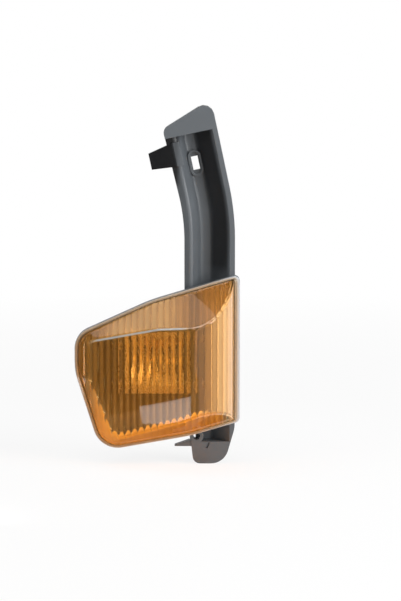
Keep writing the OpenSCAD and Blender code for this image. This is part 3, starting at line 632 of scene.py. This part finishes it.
def screw_tree():
    """Cross-head screws, one on each point: a head with its recess, a core and a wound thread."""
    tree, given = new_tree(
        "cross head screw",
        Head_Radius=3.2 * MM,
        Head_Height=2.0 * MM,
        Recess_Length=3.2 * MM,
        Recess_Width=0.7 * MM,
        Recess_Depth=1.6 * MM,
        Core=1.25 * MM,
        Length=11.6 * MM,
        Turns=9.0,
        Thread=0.3 * MM,
        Thread_Start=0.3 * MM,
        Thread_Share=0.94,
    )

    def moved(shape, **feeds):
        return add_node(tree, "GeometryNodeTransform", Geometry=shape, **feeds).outputs[0]

    def vector(**axes):
        return add_node(tree, "ShaderNodeCombineXYZ", **axes).outputs[0]

    height = given["Head Height"]
    cone = add_node(
        tree,
        "GeometryNodeMeshCone",
        Vertices=28,
        Radius_Top=given["Core"],
        Radius_Bottom=given["Head Radius"],
        Depth=height,
    )
    head = moved(cone.outputs[0], Rotation=(math.pi, 0, 0), Translation=vector(Z=height))
    long, wide, deep = given["Recess Length"], given["Recess Width"], given["Recess Depth"]
    recessed = tree.nodes.new("GeometryNodeMeshBoolean")
    recessed.operation = "DIFFERENCE"
    feed(tree, recessed.inputs["Mesh 1"], head)
    for size in (vector(X=long, Y=wide, Z=deep), vector(X=wide, Y=long, Z=deep)):
        slot = add_node(tree, "GeometryNodeMeshCube", Size=size)
        feed(tree, recessed.inputs["Mesh 2"], slot.outputs[0])
    core = add_node(tree, "GeometryNodeMeshCylinder", Vertices=20, Radius=given["Core"], Depth=given["Length"])
    middle = combined(tree, "MULTIPLY_ADD", given["Length"], 0.5, height)
    shank = moved(core.outputs[0], Translation=vector(Z=middle))
    thread = wound_wire(tree, given["Turns"], given["Core"], given["Thread"], given["Length"], 14, 4)
    start = combined(tree, "ADD", height, given["Thread Start"])
    thread = moved(thread, Translation=vector(Z=start), Scale=vector(X=1.0, Y=1.0, Z=given["Thread Share"]))
    whole = tree.nodes.new("GeometryNodeJoinGeometry")
    for part in (recessed.outputs[0], shank, thread):
        feed(tree, whole.inputs[0], part)
    placed_on_points(tree, given, whole.outputs[0])
    return tree


def grown_piece(name, tree, points, mat, sharp_deg, **values):
    """A plain mesh grown by a tree on points in millimetres."""
    mesh = bpy.data.meshes.new(name)
    mesh.from_pydata([tuple(c * MM for c in p) for p in points], [], [])
    obj = new_object(name, mesh)
    grower = obj.modifiers.new(name, "NODES")
    grower.node_group = tree
    values["Material"] = mat
    for socket in tree.interface.items_tree:
        if socket.in_out == "INPUT" and socket.name in values:
            grower[socket.identifier] = values[socket.name]
    apply_modifiers(obj)
    finish_mesh(obj.data, mat, sharp_deg)
    return obj


# Lens form


def inward_normals():
    """The inward normal of each side of the opening, anticlockwise."""
    run = np.roll(RIM_POINTS, -1, axis=0) - RIM_POINTS
    run /= np.linalg.norm(run, axis=1)[:, None]
    return np.stack([-run[:, 1], run[:, 0]], axis=1)


RIM_NORMALS = inward_normals()


def room(x, z, depth, inset, radii=LENS_RADII, drafts=DRAFTS):
    """How far a point lies inside the drafted, rounded outline at a depth in front of the seat."""
    start, normal = RIM_POINTS, RIM_NORMALS
    dist = [
        (x - start[i, 0]) * normal[i, 0] + (z - start[i, 1]) * normal[i, 1] - inset - drafts[i] * depth
        for i in range(RIM_SIDES)
    ]
    best = np.minimum.reduce(dist)
    for i in range(RIM_SIDES):
        u, v = dist[i - 1], dist[i]
        g = float(normal[i - 1] @ normal[i])
        r = np.maximum(radii[i] - inset - RADIUS_SHRINK * depth, 0.5)
        a, b = r - u, r - v
        p, q = (a - b * g) / (1 - g * g), (b - a * g) / (1 - g * g)
        reach = r - np.sqrt(np.maximum(p * p + q * q + 2 * p * q * g, 0))
        best = np.where((p > 0) & (q > 0), np.minimum(best, reach), best)
    return best


def farthest(is_inside, shape, limit, halvings):
    """The farthest distance, up to a limit, that is still inside, by halving."""
    low, high = np.zeros(shape), np.full(shape, limit)
    for _ in range(halvings):
        middle = (low + high) / 2
        inside = is_inside(middle)
        low, high = np.where(inside, middle, low), np.where(inside, high, middle)
    return low


def wall_depth(x, z, inset):
    """Depth at which the drafted walls leave a point outside."""
    return farthest(lambda depth: room(x, z, depth, inset) >= 0, x.shape, 70.0, 26)


def outline_limits(x, depth, inset):
    """Lowest and highest point of the outline in each column."""
    middle = INSIDE_RIM[1]
    down, up = (
        farthest(lambda far: room(x, middle + sign * far, depth, inset) >= 0, x.shape, 130.0, 34)
        for sign in (-1, 1)
    )
    return middle - down, middle + up


def ring_at(loop, inset, directions=1440):
    """The opening's outline set in by a distance, with one point in the direction of each point of a loop."""
    centre_x, centre_z = INSIDE_RIM
    angle = np.linspace(-math.pi, math.pi, directions + 1)
    cos, sin = np.cos(angle), np.sin(angle)
    reach = farthest(
        lambda far: room(centre_x + far * cos, centre_z + far * sin, 0.0, inset, RIM_RADII, NO_DRAFT) >= 0,
        angle.shape,
        260.0,
        34,
    )
    turn = np.arctan2(loop[:, 1] - centre_z, loop[:, 0] - centre_x)
    r = np.interp(turn, angle, reach)
    return np.stack([centre_x + r * np.cos(turn), centre_z + r * np.sin(turn)], axis=1)


def soft_min(a, b, k):
    """The lesser of two values, with the change between them rounded over k."""
    h = np.maximum(k - np.abs(a - b), 0) / k
    return np.minimum(a, b) - h * h * k / 4


# Rows of the lens's skins, the reach of the fine rows round a crease, and the samples that find it
WALL_ROWS, CREASE_ROWS, FACE_ROWS = 8, 16, 20
CREASE_REACH = 2.4
COLUMN_SAMPLES = 320


def lens_skin(x, plan_depth, base, inset, wall_ridge, crease):
    """Grid of points over one side of the lens, as X, Z and depth, one column for each point of its plan."""
    bottom, top = outline_limits(x, base, inset)
    share = np.linspace(0, 1, COLUMN_SAMPLES)[:, None]
    z = bottom + (top - bottom) * share
    walls = wall_depth(np.broadcast_to(x, z.shape), z, inset)
    on_face = walls >= np.minimum(plan_depth, walls.max(axis=0) * 0.985)
    first = np.argmax(on_face, axis=0)
    last = COLUMN_SAMPLES - 1 - np.argmax(on_face[::-1], axis=0)
    column = np.arange(len(x))
    face_low, face_high = z[first, column], z[last, column]
    tall = np.maximum(face_high - face_low, 0.01)
    below = np.minimum(CREASE_REACH, 0.5 * (face_low - bottom))
    above = np.minimum(CREASE_REACH, 0.5 * (top - face_high))
    onto_face = np.minimum(CREASE_REACH * 2.5, 0.2 * tall)
    marks = [bottom, face_low - below, face_low + onto_face, face_high - onto_face, face_high + above, top]
    counts = [WALL_ROWS, CREASE_ROWS, FACE_ROWS, CREASE_ROWS, WALL_ROWS]
    rows = [bottom]
    for k, n in enumerate(counts):
        rows += [marks[k] + (marks[k + 1] - marks[k]) * i / n for i in range(1, n + 1)]
    z = np.array(rows)
    x = np.broadcast_to(x, z.shape)
    walls = wall_depth(x, z, inset + wall_ridge)
    depth = np.maximum(soft_min(np.broadcast_to(plan_depth, z.shape), walls, crease), base)
    depth[0], depth[-1] = base, base
    return np.stack([x, z, depth], axis=2)


def wrap_point(a, d):
    """X and depth of the wrap at an angle, at a distance below its outside."""
    return WRAP_X + (WRAP_W - d) * np.sin(a), (WRAP_DEPTH - d) * np.cos(a)


def arch(share):
    """A flute's height, from 0 over 1 back to 0."""
    return 4 * share * (1 - share)


# Columns in a flute, and how far the first column stays off the side wall
COLUMNS_A_FLUTE = 10
PLAN_GAP = 0.02


def lens_plans(wall, pitch, height):
    """Plan of the outside, smooth, and of the inside, fluted: X, depth and ridge at each column."""
    start_x, start_d = wrap_point(WRAP_FROM, wall)
    left = RIM_LEFT + SKIRT + wall
    n_face = int(math.ceil((start_x - left) / pitch * COLUMNS_A_FLUTE))
    face_x = np.linspace(left + PLAN_GAP, start_x, n_face + 1)
    flute = (start_x - face_x) / pitch
    ridge = height * arch(flute - np.floor(flute))
    face_d = start_d + FACE_SLOPE * (face_x - start_x) - ridge
    n_wrap = WRAP_FLUTES * COLUMNS_A_FLUTE
    k = np.arange(1, n_wrap + 1)
    a = WRAP_FROM + (math.pi / 2 - WRAP_FROM) * k / n_wrap
    fade = np.minimum(1.0, np.cos(a) * 1.6)
    lift = height * arch((k % COLUMNS_A_FLUTE) / COLUMNS_A_FLUTE) * 0.8 * fade
    wrap_x, wrap_d = wrap_point(a, wall + lift)
    inner = (np.append(face_x, wrap_x), np.append(face_d, wrap_d), np.append(ridge * 0.7, lift * 0.8))
    start_x, start_d = wrap_point(WRAP_FROM, 0)
    left = RIM_LEFT + SKIRT + DRAFTS[2] * FLANGE_T
    face_x = np.linspace(left + PLAN_GAP, start_x, n_face + 1)
    end = math.acos(FLANGE_T / WRAP_DEPTH)
    wrap_x, wrap_d = wrap_point(WRAP_FROM + (end - WRAP_FROM) * k / n_wrap, 0)
    outer = (np.append(face_x, wrap_x), np.append(start_d + FACE_SLOPE * (face_x - start_x), wrap_d))
    return outer, inner


def rim_indices(rows, cols):
    """Indices round the border of a grid, anticlockwise from the lower left."""
    bottom = list(range(cols))
    right = [r * cols + cols - 1 for r in range(1, rows)]
    top = [(rows - 1) * cols + c for c in range(cols - 2, -1, -1)]
    left = [r * cols for r in range(rows - 2, 0, -1)]
    return bottom + right + top + left


def grid_faces(rows, cols, offset):
    """Faces of a grid whose points are numbered row by row from an offset."""
    corners = [offset + r * cols + c for r in range(rows - 1) for c in range(cols - 1)]
    return [(i, i + 1, i + cols + 1, i + cols) for i in corners]


def band_faces(ring, next_ring):
    """Faces between two closed rings with as many points each."""
    n = len(ring)
    return [(ring[i], next_ring[i], next_ring[(i + 1) % n], ring[(i + 1) % n]) for i in range(n)]


def rise(start, end, value):
    """Goes smoothly from 0 to 1 while the value goes from start to end."""
    t = np.clip((value - start) / (end - start), 0, 1)
    return t * t * (3 - 2 * t)


def between(start, full, fade, end, value):
    """Rises from start to full and falls again from fade to end."""
    return rise(start, full, value) * (1 - rise(fade, end, value))


def inner_scatter_and_painted_light(inner, plan_depth, ridge, tooth_height):
    """Share of light that the fluted inside scatters, with a painted reflection and painted glints before the bulb
    added, and how pale it looks, at each point of the inner skin.
    """
    x, z, depth = inner[..., 0], inner[..., 1], inner[..., 2]
    from_left = x - RIM_LEFT
    above = z > (z[0] + z[-1]) / 2
    wall = rise(0.3, 3.0, plan_depth - depth)

    # The walls over and under the front face, plain at the left end
    top = 0.08 + 0.38 * rise(14, 44, from_left) * (1 - rise(-34.0, 4.0, x)) + 0.15 * rise(-4.0, 14.0, x)
    bottom = 0.06 + 0.76 * rise(14, 40, from_left)
    walls = wall * np.where(above, top, bottom) * (0.6 + 0.4 * ridge)

    # The wrap, in pale stripes
    wrap = 0.8 * rise(-4.0, 34.0, x) * (0.45 + 0.55 * ridge) * np.where(above, 1 - wall, 1.0)

    # The lower wall's flutes, seen end on as teeth at the foot of the face
    face_foot = np.where((wall > 0.5) & ~above, z, -1e3).max(axis=0)
    on_tooth = ~above & (z - face_foot < tooth_height * ridge)
    teeth = 0.95 * rise(8, 34, from_left) * (1 - rise(2.0, 16.0, x)) * on_tooth

    # The face's flutes, with a painted reflection of the reflector behind them and a painted glint in each before
    # the bulb
    painted_reflector_area = between(-69, -61, -15, -8, x) * between(53, 58, 97, 107, z) * (1 - wall)
    painted_glint = 0.4 * np.exp(-(((z - 82.0) / 2.6) ** 2))
    flutes = 0.03 + ridge**4 * (0.12 + (0.3 + painted_glint) * painted_reflector_area)

    scatter_and_painted_light = np.maximum.reduce([walls, wrap, teeth, flutes])
    pale_top = 0.55 * rise(8, 34, from_left) * (1 - rise(-24.0, 4.0, x))
    pale_wall = np.where(above, pale_top, rise(20.0, 36.0, x)) * wall
    return scatter_and_painted_light, np.maximum(rise(-2.0, 30.0, x) * (1 - wall), pale_wall)


def painted_crease_highlight(outer, plan_depth):
    """Painted highlight: a thin bright line along the rounded crease above the front face."""
    x, z, depth = outer[..., 0], outer[..., 1], outer[..., 2]
    line = between(0.1, 0.5, 1.3, 2.4, plan_depth - depth)
    ends = rise(13, 24, x - RIM_LEFT) * (1 - rise(-16.0, -2.0, x))
    return 0.75 * line * ends * (z > (z[0] + z[-1]) / 2)


# The flange's and tongue's section in millimetres: inset from the opening, and depth
FLANGE_SECTION = [
    (FLANGE_INSET + 0.35, FLANGE_T),
    (FLANGE_INSET + 0.1, FLANGE_T - 0.12),
    (FLANGE_INSET, FLANGE_T - 0.4),
    (FLANGE_INSET, 0.25),
    (FLANGE_INSET + 0.2, 0.0),
    (TONGUE_IN, 0.0),
    (TONGUE_IN, -TONGUE_L + 0.2),
    (TONGUE_IN + 0.2, -TONGUE_L),
    (TONGUE_IN + TONGUE_T - 0.2, -TONGUE_L),
    (TONGUE_IN + TONGUE_T, -TONGUE_L + 0.2),
    (TONGUE_IN + TONGUE_T, 0.0),
]


def lens_mesh(sizes):
    """Outer skin, flange and tongue, and inner skin, joined in one closed mesh with its marks."""
    wall, crease = in_mm(sizes.lens_wall), in_mm(sizes.crease)
    outer_plan, inner_plan = lens_plans(wall, in_mm(sizes.flute_pitch), in_mm(sizes.flute_height))
    ridge = inner_plan[2]
    outer = lens_skin(*outer_plan, FLANGE_T, SKIRT, 0.0, crease)
    inner = lens_skin(*inner_plan[:2], 0.0, SKIRT + wall, ridge, crease * 0.5)
    rows, cols = outer.shape[:2]
    border = rim_indices(rows, cols)
    points = [outer.reshape(-1, 3)]
    # The outer skin carries only the painted crease highlight, in a pale colour
    scatter_and_painted_light = [painted_crease_highlight(outer, outer_plan[1]).ravel()]
    pale = [np.full(rows * cols, 0.7)]
    faces = grid_faces(rows, cols, 0)
    loop = points[0][border][:, :2]
    count, previous = rows * cols, border
    for inset, depth in FLANGE_SECTION:
        ring = ring_at(loop, inset)
        points.append(np.column_stack([ring, np.full(len(ring), depth)]))
        scatter_and_painted_light.append(0.55 + 0.25 * rise(12.0, 38.0, ring[:, 0]))
        pale.append(np.ones(len(ring)))
        now = list(range(count, count + len(ring)))
        faces += band_faces(previous, now)
        count, previous = count + len(ring), now
    points.append(inner.reshape(-1, 3))
    inner_scatter_and_glints, inner_pale = inner_scatter_and_painted_light(inner, inner_plan[1], ridge / ridge.max(), in_mm(sizes.teeth))
    scatter_and_painted_light.append(inner_scatter_and_glints.ravel())
    pale.append(inner_pale.ravel())
    faces += grid_faces(rows, cols, count) + band_faces(previous, [count + i for i in border])
    verts = [(x, SEAT_Y - depth, z) for x, z, depth in np.concatenate(points)]
    return verts, faces, {"scatter_and_painted_light": np.concatenate(scatter_and_painted_light).tolist(), "pale": np.concatenate(pale).tolist()}


# Pieces


class LAMP_OT_lens(bpy.types.Operator):
    """Make the amber lens: smooth outside, fluted inside, with its flange and tongue"""

    bl_idname = "lamp.lens"
    bl_label = "Lens"

    def execute(self, context):
        scene = context.scene
        mat = amber_plastic(scene.lamp_finishes.amber)
        verts, faces, marks = lens_mesh(scene.lamp_sizes)
        lens = mesh_piece("lens_amber", verts, faces, mat, LENS_SHARP, marks)
        replace_node(lens, "lamp", "amber_plastic", "lens")
        return {"FINISHED"}


class LAMP_OT_housing(bpy.types.Operator):
    """Finish the moulded housing, its seal and its breather cap"""

    bl_idname = "lamp.housing"
    bl_label = "Housing"

    def execute(self, context):
        looks = context.scene.lamp_finishes
        mat = moulded_plastic("black_plastic", looks.black, 0.42, context.scene.lamp_sizes.edge)
        # Painted shade on the arm's trough wall and tab
        paint_trough_shade(mat, looks.trough_shade)
        shell = smooth_copy("housing", "housing_moulding", mat, reshape=round_bend)
        replace_node(shell, "lamp", "black_plastic", "housing")
        rubber = soft_rubber("seal_rubber", looks.rubber)
        finish_node("lens_seal", rubber)
        finish_node("breather_cap", rubber)
        return {"FINISHED"}


class LAMP_OT_reflector(bpy.types.Operator):
    """Finish the bright reflector and its screws"""

    bl_idname = "lamp.reflector"
    bl_label = "Reflector"

    def execute(self, context):
        bright = plated_metal("bright_metal", (0.42, 0.42, 0.42), 0.28)
        bowl = smooth_copy("reflector", "reflector_bowl", bright)
        replace_node(bowl, "lamp", "bright_metal", "reflector")
        dull = plated_metal("zinc_steel", (0.16, 0.15, 0.13), 0.4)
        places = [(BULB.x + x, 0.0, BULB.z + z) for x, z in SCREWS_AT]
        screws = grown_piece(
            "reflector_screws_threaded", screw_tree(), places, dull, SCREW_SHARP, Turn=TOWARDS_BACK
        )
        replace_node(screws, "lamp", "zinc_steel", "reflector_screws")
        return {"FINISHED"}


class LAMP_OT_bulb(bpy.types.Operator):
    """Finish the bulb and its coiled filament"""

    bl_idname = "lamp.bulb"
    bl_label = "Bulb"

    def execute(self, context):
        glass = bulb_glass("clear_glass")
        finish_node("bulb_glass", glass)
        finish_node("bulb_stem", glass)
        wire = plated_metal("filament_wire", (0.32, 0.32, 0.34), 0.4)
        finish_node("bulb_supports", wire)
        width, above_seat = 7.0, 3.3
        start = (BULB.x - width / 2, above_seat, BULB.z)
        sizes = {"Turns": 16.0, "Radius": 0.46 * MM, "Wire": 0.12 * MM, "Height": width * MM}
        coil = grown_piece("filament_coil", coil_tree(), [start], wire, WIRE_SHARP, Turn=TOWARDS_RIGHT, **sizes)
        replace_node(coil, "bulb_holder", "filament_wire", "bulb_filament")
        finish_node("bulb_cap", plated_metal("cap_metal", (0.72, 0.66, 0.5), 0.28, (1, 6, 1)))
        finish_node("bulb_insulator", moulded_plastic("black_glass", (0.02, 0.02, 0.022), 0.12))
        finish_node("bulb_contact", plated_metal("solder", (0.6, 0.6, 0.58), 0.42))
        return {"FINISHED"}


class LAMP_OT_holder(bpy.types.Operator):
    """Finish the bulb holder with its seal, sleeve, spring and terminals"""

    bl_idname = "lamp.holder"
    bl_label = "Bulb holder"

    def execute(self, context):
        grey = moulded_plastic("holder_plastic", (0.07, 0.072, 0.078), 0.5)
        body = smooth_copy("holder_body", "holder_moulding", grey)
        replace_node(body, "bulb_holder", "holder_plastic", "holder_body")
        finish_node("holder_seal", soft_rubber("holder_rubber", context.scene.lamp_finishes.silicone))
        steel = plated_metal("zinc_steel_holder", (0.66, 0.67, 0.69), 0.34)
        finish_node("holder_sleeve", steel)
        start = (BULB.x, 36.95, BULB.z)
        sizes = {"Turns": 5.0, "Radius": 2.6 * MM, "Wire": 0.42 * MM, "Height": 5.3 * MM}
        spring = grown_piece(
            "contact_spring_wound", coil_tree(), [start], steel, WIRE_SHARP, Turn=TOWARDS_BACK, **sizes
        )
        replace_node(spring, "bulb_holder", "zinc_steel", "contact_spring")
        finish_node("contact_plunger", moulded_plastic("plunger_plastic", (0.62, 0.52, 0.38), 0.5))
        brass = plated_metal("contact_brass", (0.78, 0.6, 0.28), 0.3)
        finish_node("live_terminal", brass)
        finish_node("earth_terminal", brass)
        return {"FINISHED"}


# Stage

# The picture in pixels, its scale, and the pixel at which the part's origin lies
IMAGE_W, IMAGE_H = 401, 601
MM_A_PIXEL = 0.95
ORIGIN_PIXEL = (196.5, 437.5)

# How far the camera looks down, and its distance and the floor's height in metres
CAMERA_UP = math.radians(8.0)
CAMERA_AWAY = 2.3
FLOOR_LEVEL = CAD_BOX[0][2]


def area_lamp(name, place, target, size, glow, roll=0.0):
    """A soft lamp whose face looks as bright as glow, where 1 is white."""
    data = bpy.data.lights.new(name, "AREA")
    data.shape = "RECTANGLE"
    data.size, data.size_y = size
    data.energy = glow * math.pi * size[0] * size[1]
    lamp = new_object(name, data)
    lamp.visible_camera = False
    lamp.location = place
    aim = (Vector(target) - Vector(place)).to_track_quat("-Z", "Y")
    lamp.rotation_euler = (aim @ Quaternion((0, 0, 1), roll)).to_euler()


def seen_directly(tree):
    """1 for what the camera sees, also in reflections and through glass, and 0 for light that falls on a piece."""
    path = add_node(tree, "ShaderNodeLightPath").outputs
    mirrored_or_through = combined(tree, "MAXIMUM", path["Is Glossy Ray"], path["Is Transmission Ray"])
    return combined(tree, "MAXIMUM", path["Is Camera Ray"], mirrored_or_through)


def white_world(fill):
    """Looks white, and lights the pieces with a weaker fill."""
    world = bpy.data.worlds.new("studio")
    bpy.context.scene.world = world
    world.use_nodes = True
    tree = world.node_tree
    lighting = tree.nodes["Background"]
    lighting.inputs["Color"].default_value = (fill, fill, fill, 1)
    white = add_node(tree, "ShaderNodeBackground", Color=(1, 1, 1))
    mix_shaders(tree, seen_directly(tree), lighting.outputs[0], white.outputs[0], "World Output")


def floor_finish(colour, white_share):
    """Pale floor that looks as white as the backdrop and keeps a faint shadow of the lamp."""
    mat, tree, shader = new_material("stage_floor")
    shader.inputs["Base Color"].default_value = (*colour, 1)
    shader.inputs["Roughness"].default_value = 0.9
    away = add_node(tree, "ShaderNodeVectorMath", Vector=object_place(tree))
    away.operation = "LENGTH"
    whiter = ramp(tree, away.outputs["Value"], white_share, 1.0, 0.35, 1.2)
    share = combined(tree, "MULTIPLY", seen_directly(tree), whiter)
    white = add_node(tree, "ShaderNodeEmission")
    mix_shaders(tree, share, shader.outputs[0], white.outputs[0])
    return mat


def stage_card(name, corners, mat):
    """A flat card with its material, in the scene."""
    mesh = bpy.data.meshes.new(name)
    mesh.from_pydata(corners, [], [(0, 1, 2, 3)])
    mesh.materials.append(mat)
    card = new_object(name, mesh)
    return card


def level_corners(left, right, front, back, level):
    """Corners of a card that lies flat."""
    return [(left, front, level), (right, front, level), (right, back, level), (left, back, level)]


def reflected_card(name, corners, colour):
    """A card that shows in glossy surfaces only, as a studio's flag does."""
    mat, _, shader = new_material("stage_" + name)
    shader.inputs["Base Color"].default_value = (*colour, 1)
    shader.inputs["Roughness"].default_value = 1.0
    card = stage_card(name, corners, mat)
    card.visible_camera = card.visible_diffuse = card.visible_transmission = card.visible_shadow = False


def photo_camera():
    """Camera that looks at the middle of the picture, with the part's origin at its own pixel."""
    pixel = MM_A_PIXEL * MM
    data = bpy.data.cameras.new("camera")
    data.sensor_width = 36.0
    data.lens = data.sensor_width * CAMERA_AWAY / (IMAGE_H * pixel)
    data.clip_end = 30
    camera = new_object("camera", data)
    across = (IMAGE_W / 2 - ORIGIN_PIXEL[0]) * pixel
    up = (ORIGIN_PIXEL[1] - IMAGE_H / 2) * pixel / math.cos(CAMERA_UP)
    back = Vector((0, -math.cos(CAMERA_UP), math.sin(CAMERA_UP)))
    camera.location = Vector((across, 0, up)) + CAMERA_AWAY * back
    camera.rotation_euler = (math.pi / 2 - CAMERA_UP, 0, 0)
    return camera


class LAMP_OT_stage(bpy.types.Operator):
    """Set up the camera, the pale floor and the soft studio lamps"""

    bl_idname = "lamp.stage"
    bl_label = "Stage"

    def execute(self, context):
        scene = context.scene
        scene.view_settings.view_transform = "Standard"
        bpy.context.scene.camera = photo_camera()
        floor = floor_finish(scene.lamp_finishes.backdrop, 0.86)
        stage_card("floor", level_corners(-9, 9, -6, 9, FLOOR_LEVEL), floor)
        left, near, far, top = -0.28, -1.4, 0.2, 0.5
        upright = [(left, near, FLOOR_LEVEL), (left, far, FLOOR_LEVEL), (left, far, top), (left, near, top)]
        reflected_card("flag", upright, (0.02, 0.02, 0.02))
        low_card = level_corners(left, 0.01, -0.6, 0.1, FLOOR_LEVEL + 1 * MM)
        reflected_card("low_card", low_card, (0.8, 0.55, 0.3))
        white_world(0.1)
        lens = (0, 0, 0.12)
        area_lamp("key", (1.4, -0.85, 0.7), lens, (0.9, 1.2), 9)
        area_lamp("top", (-0.3, -0.2, 1.5), lens, (1.1, 0.8), 4)
        area_lamp("strip", (-0.74, -0.5, 1.0), (-0.05, 0, 0.1), (0.5, 0.12), 9)
        area_lamp("front", (0.45, -2.2, 0.5), (0, 0, 0.1), (0.9, 0.8), 2.2)
        low = (-0.2, -0.23, FLOOR_LEVEL + 12 * MM)
        area_lamp("low", low, (-0.04, -0.05, 0.03), (0.066, 0.026), 4, roll=0.2)
        return {"FINISHED"}


STEPS = (LAMP_OT_stage, LAMP_OT_housing, LAMP_OT_lens, LAMP_OT_reflector, LAMP_OT_bulb, LAMP_OT_holder)


class LAMP_PT_pieces(bpy.types.Panel):
    """Lists the lamp's pieces, sizes and colours"""

    bl_idname = "LAMP_PT_pieces"
    bl_label = "Corner indicator lamp"
    bl_space_type = "VIEW_3D"
    bl_region_type = "UI"
    bl_category = "Lamp"

    def draw(self, context):
        for group in (context.scene.lamp_sizes, context.scene.lamp_finishes):
            for name in group.__annotations__:
                self.layout.prop(group, name)
        for step in STEPS:
            self.layout.operator(step.bl_idname)


CLASSES = (LampSizes, LampFinishes, *STEPS, LAMP_PT_pieces)


def register():
    """Make the sizes, finishes and operators known."""
    for cls in CLASSES:
        bpy.utils.register_class(cls)
    bpy.types.Scene.lamp_sizes = bpy.props.PointerProperty(type=LampSizes)
    bpy.types.Scene.lamp_finishes = bpy.props.PointerProperty(type=LampFinishes)


def unregister():
    """Take them away again."""
    del bpy.types.Scene.lamp_finishes
    del bpy.types.Scene.lamp_sizes
    for cls in reversed(CLASSES):
        bpy.utils.unregister_class(cls)


def main():
    register()
    for step in STEPS:
        group, name = step.bl_idname.split(".")
        getattr(getattr(bpy.ops, group), name)()


if __name__ == "__main__":
    main()
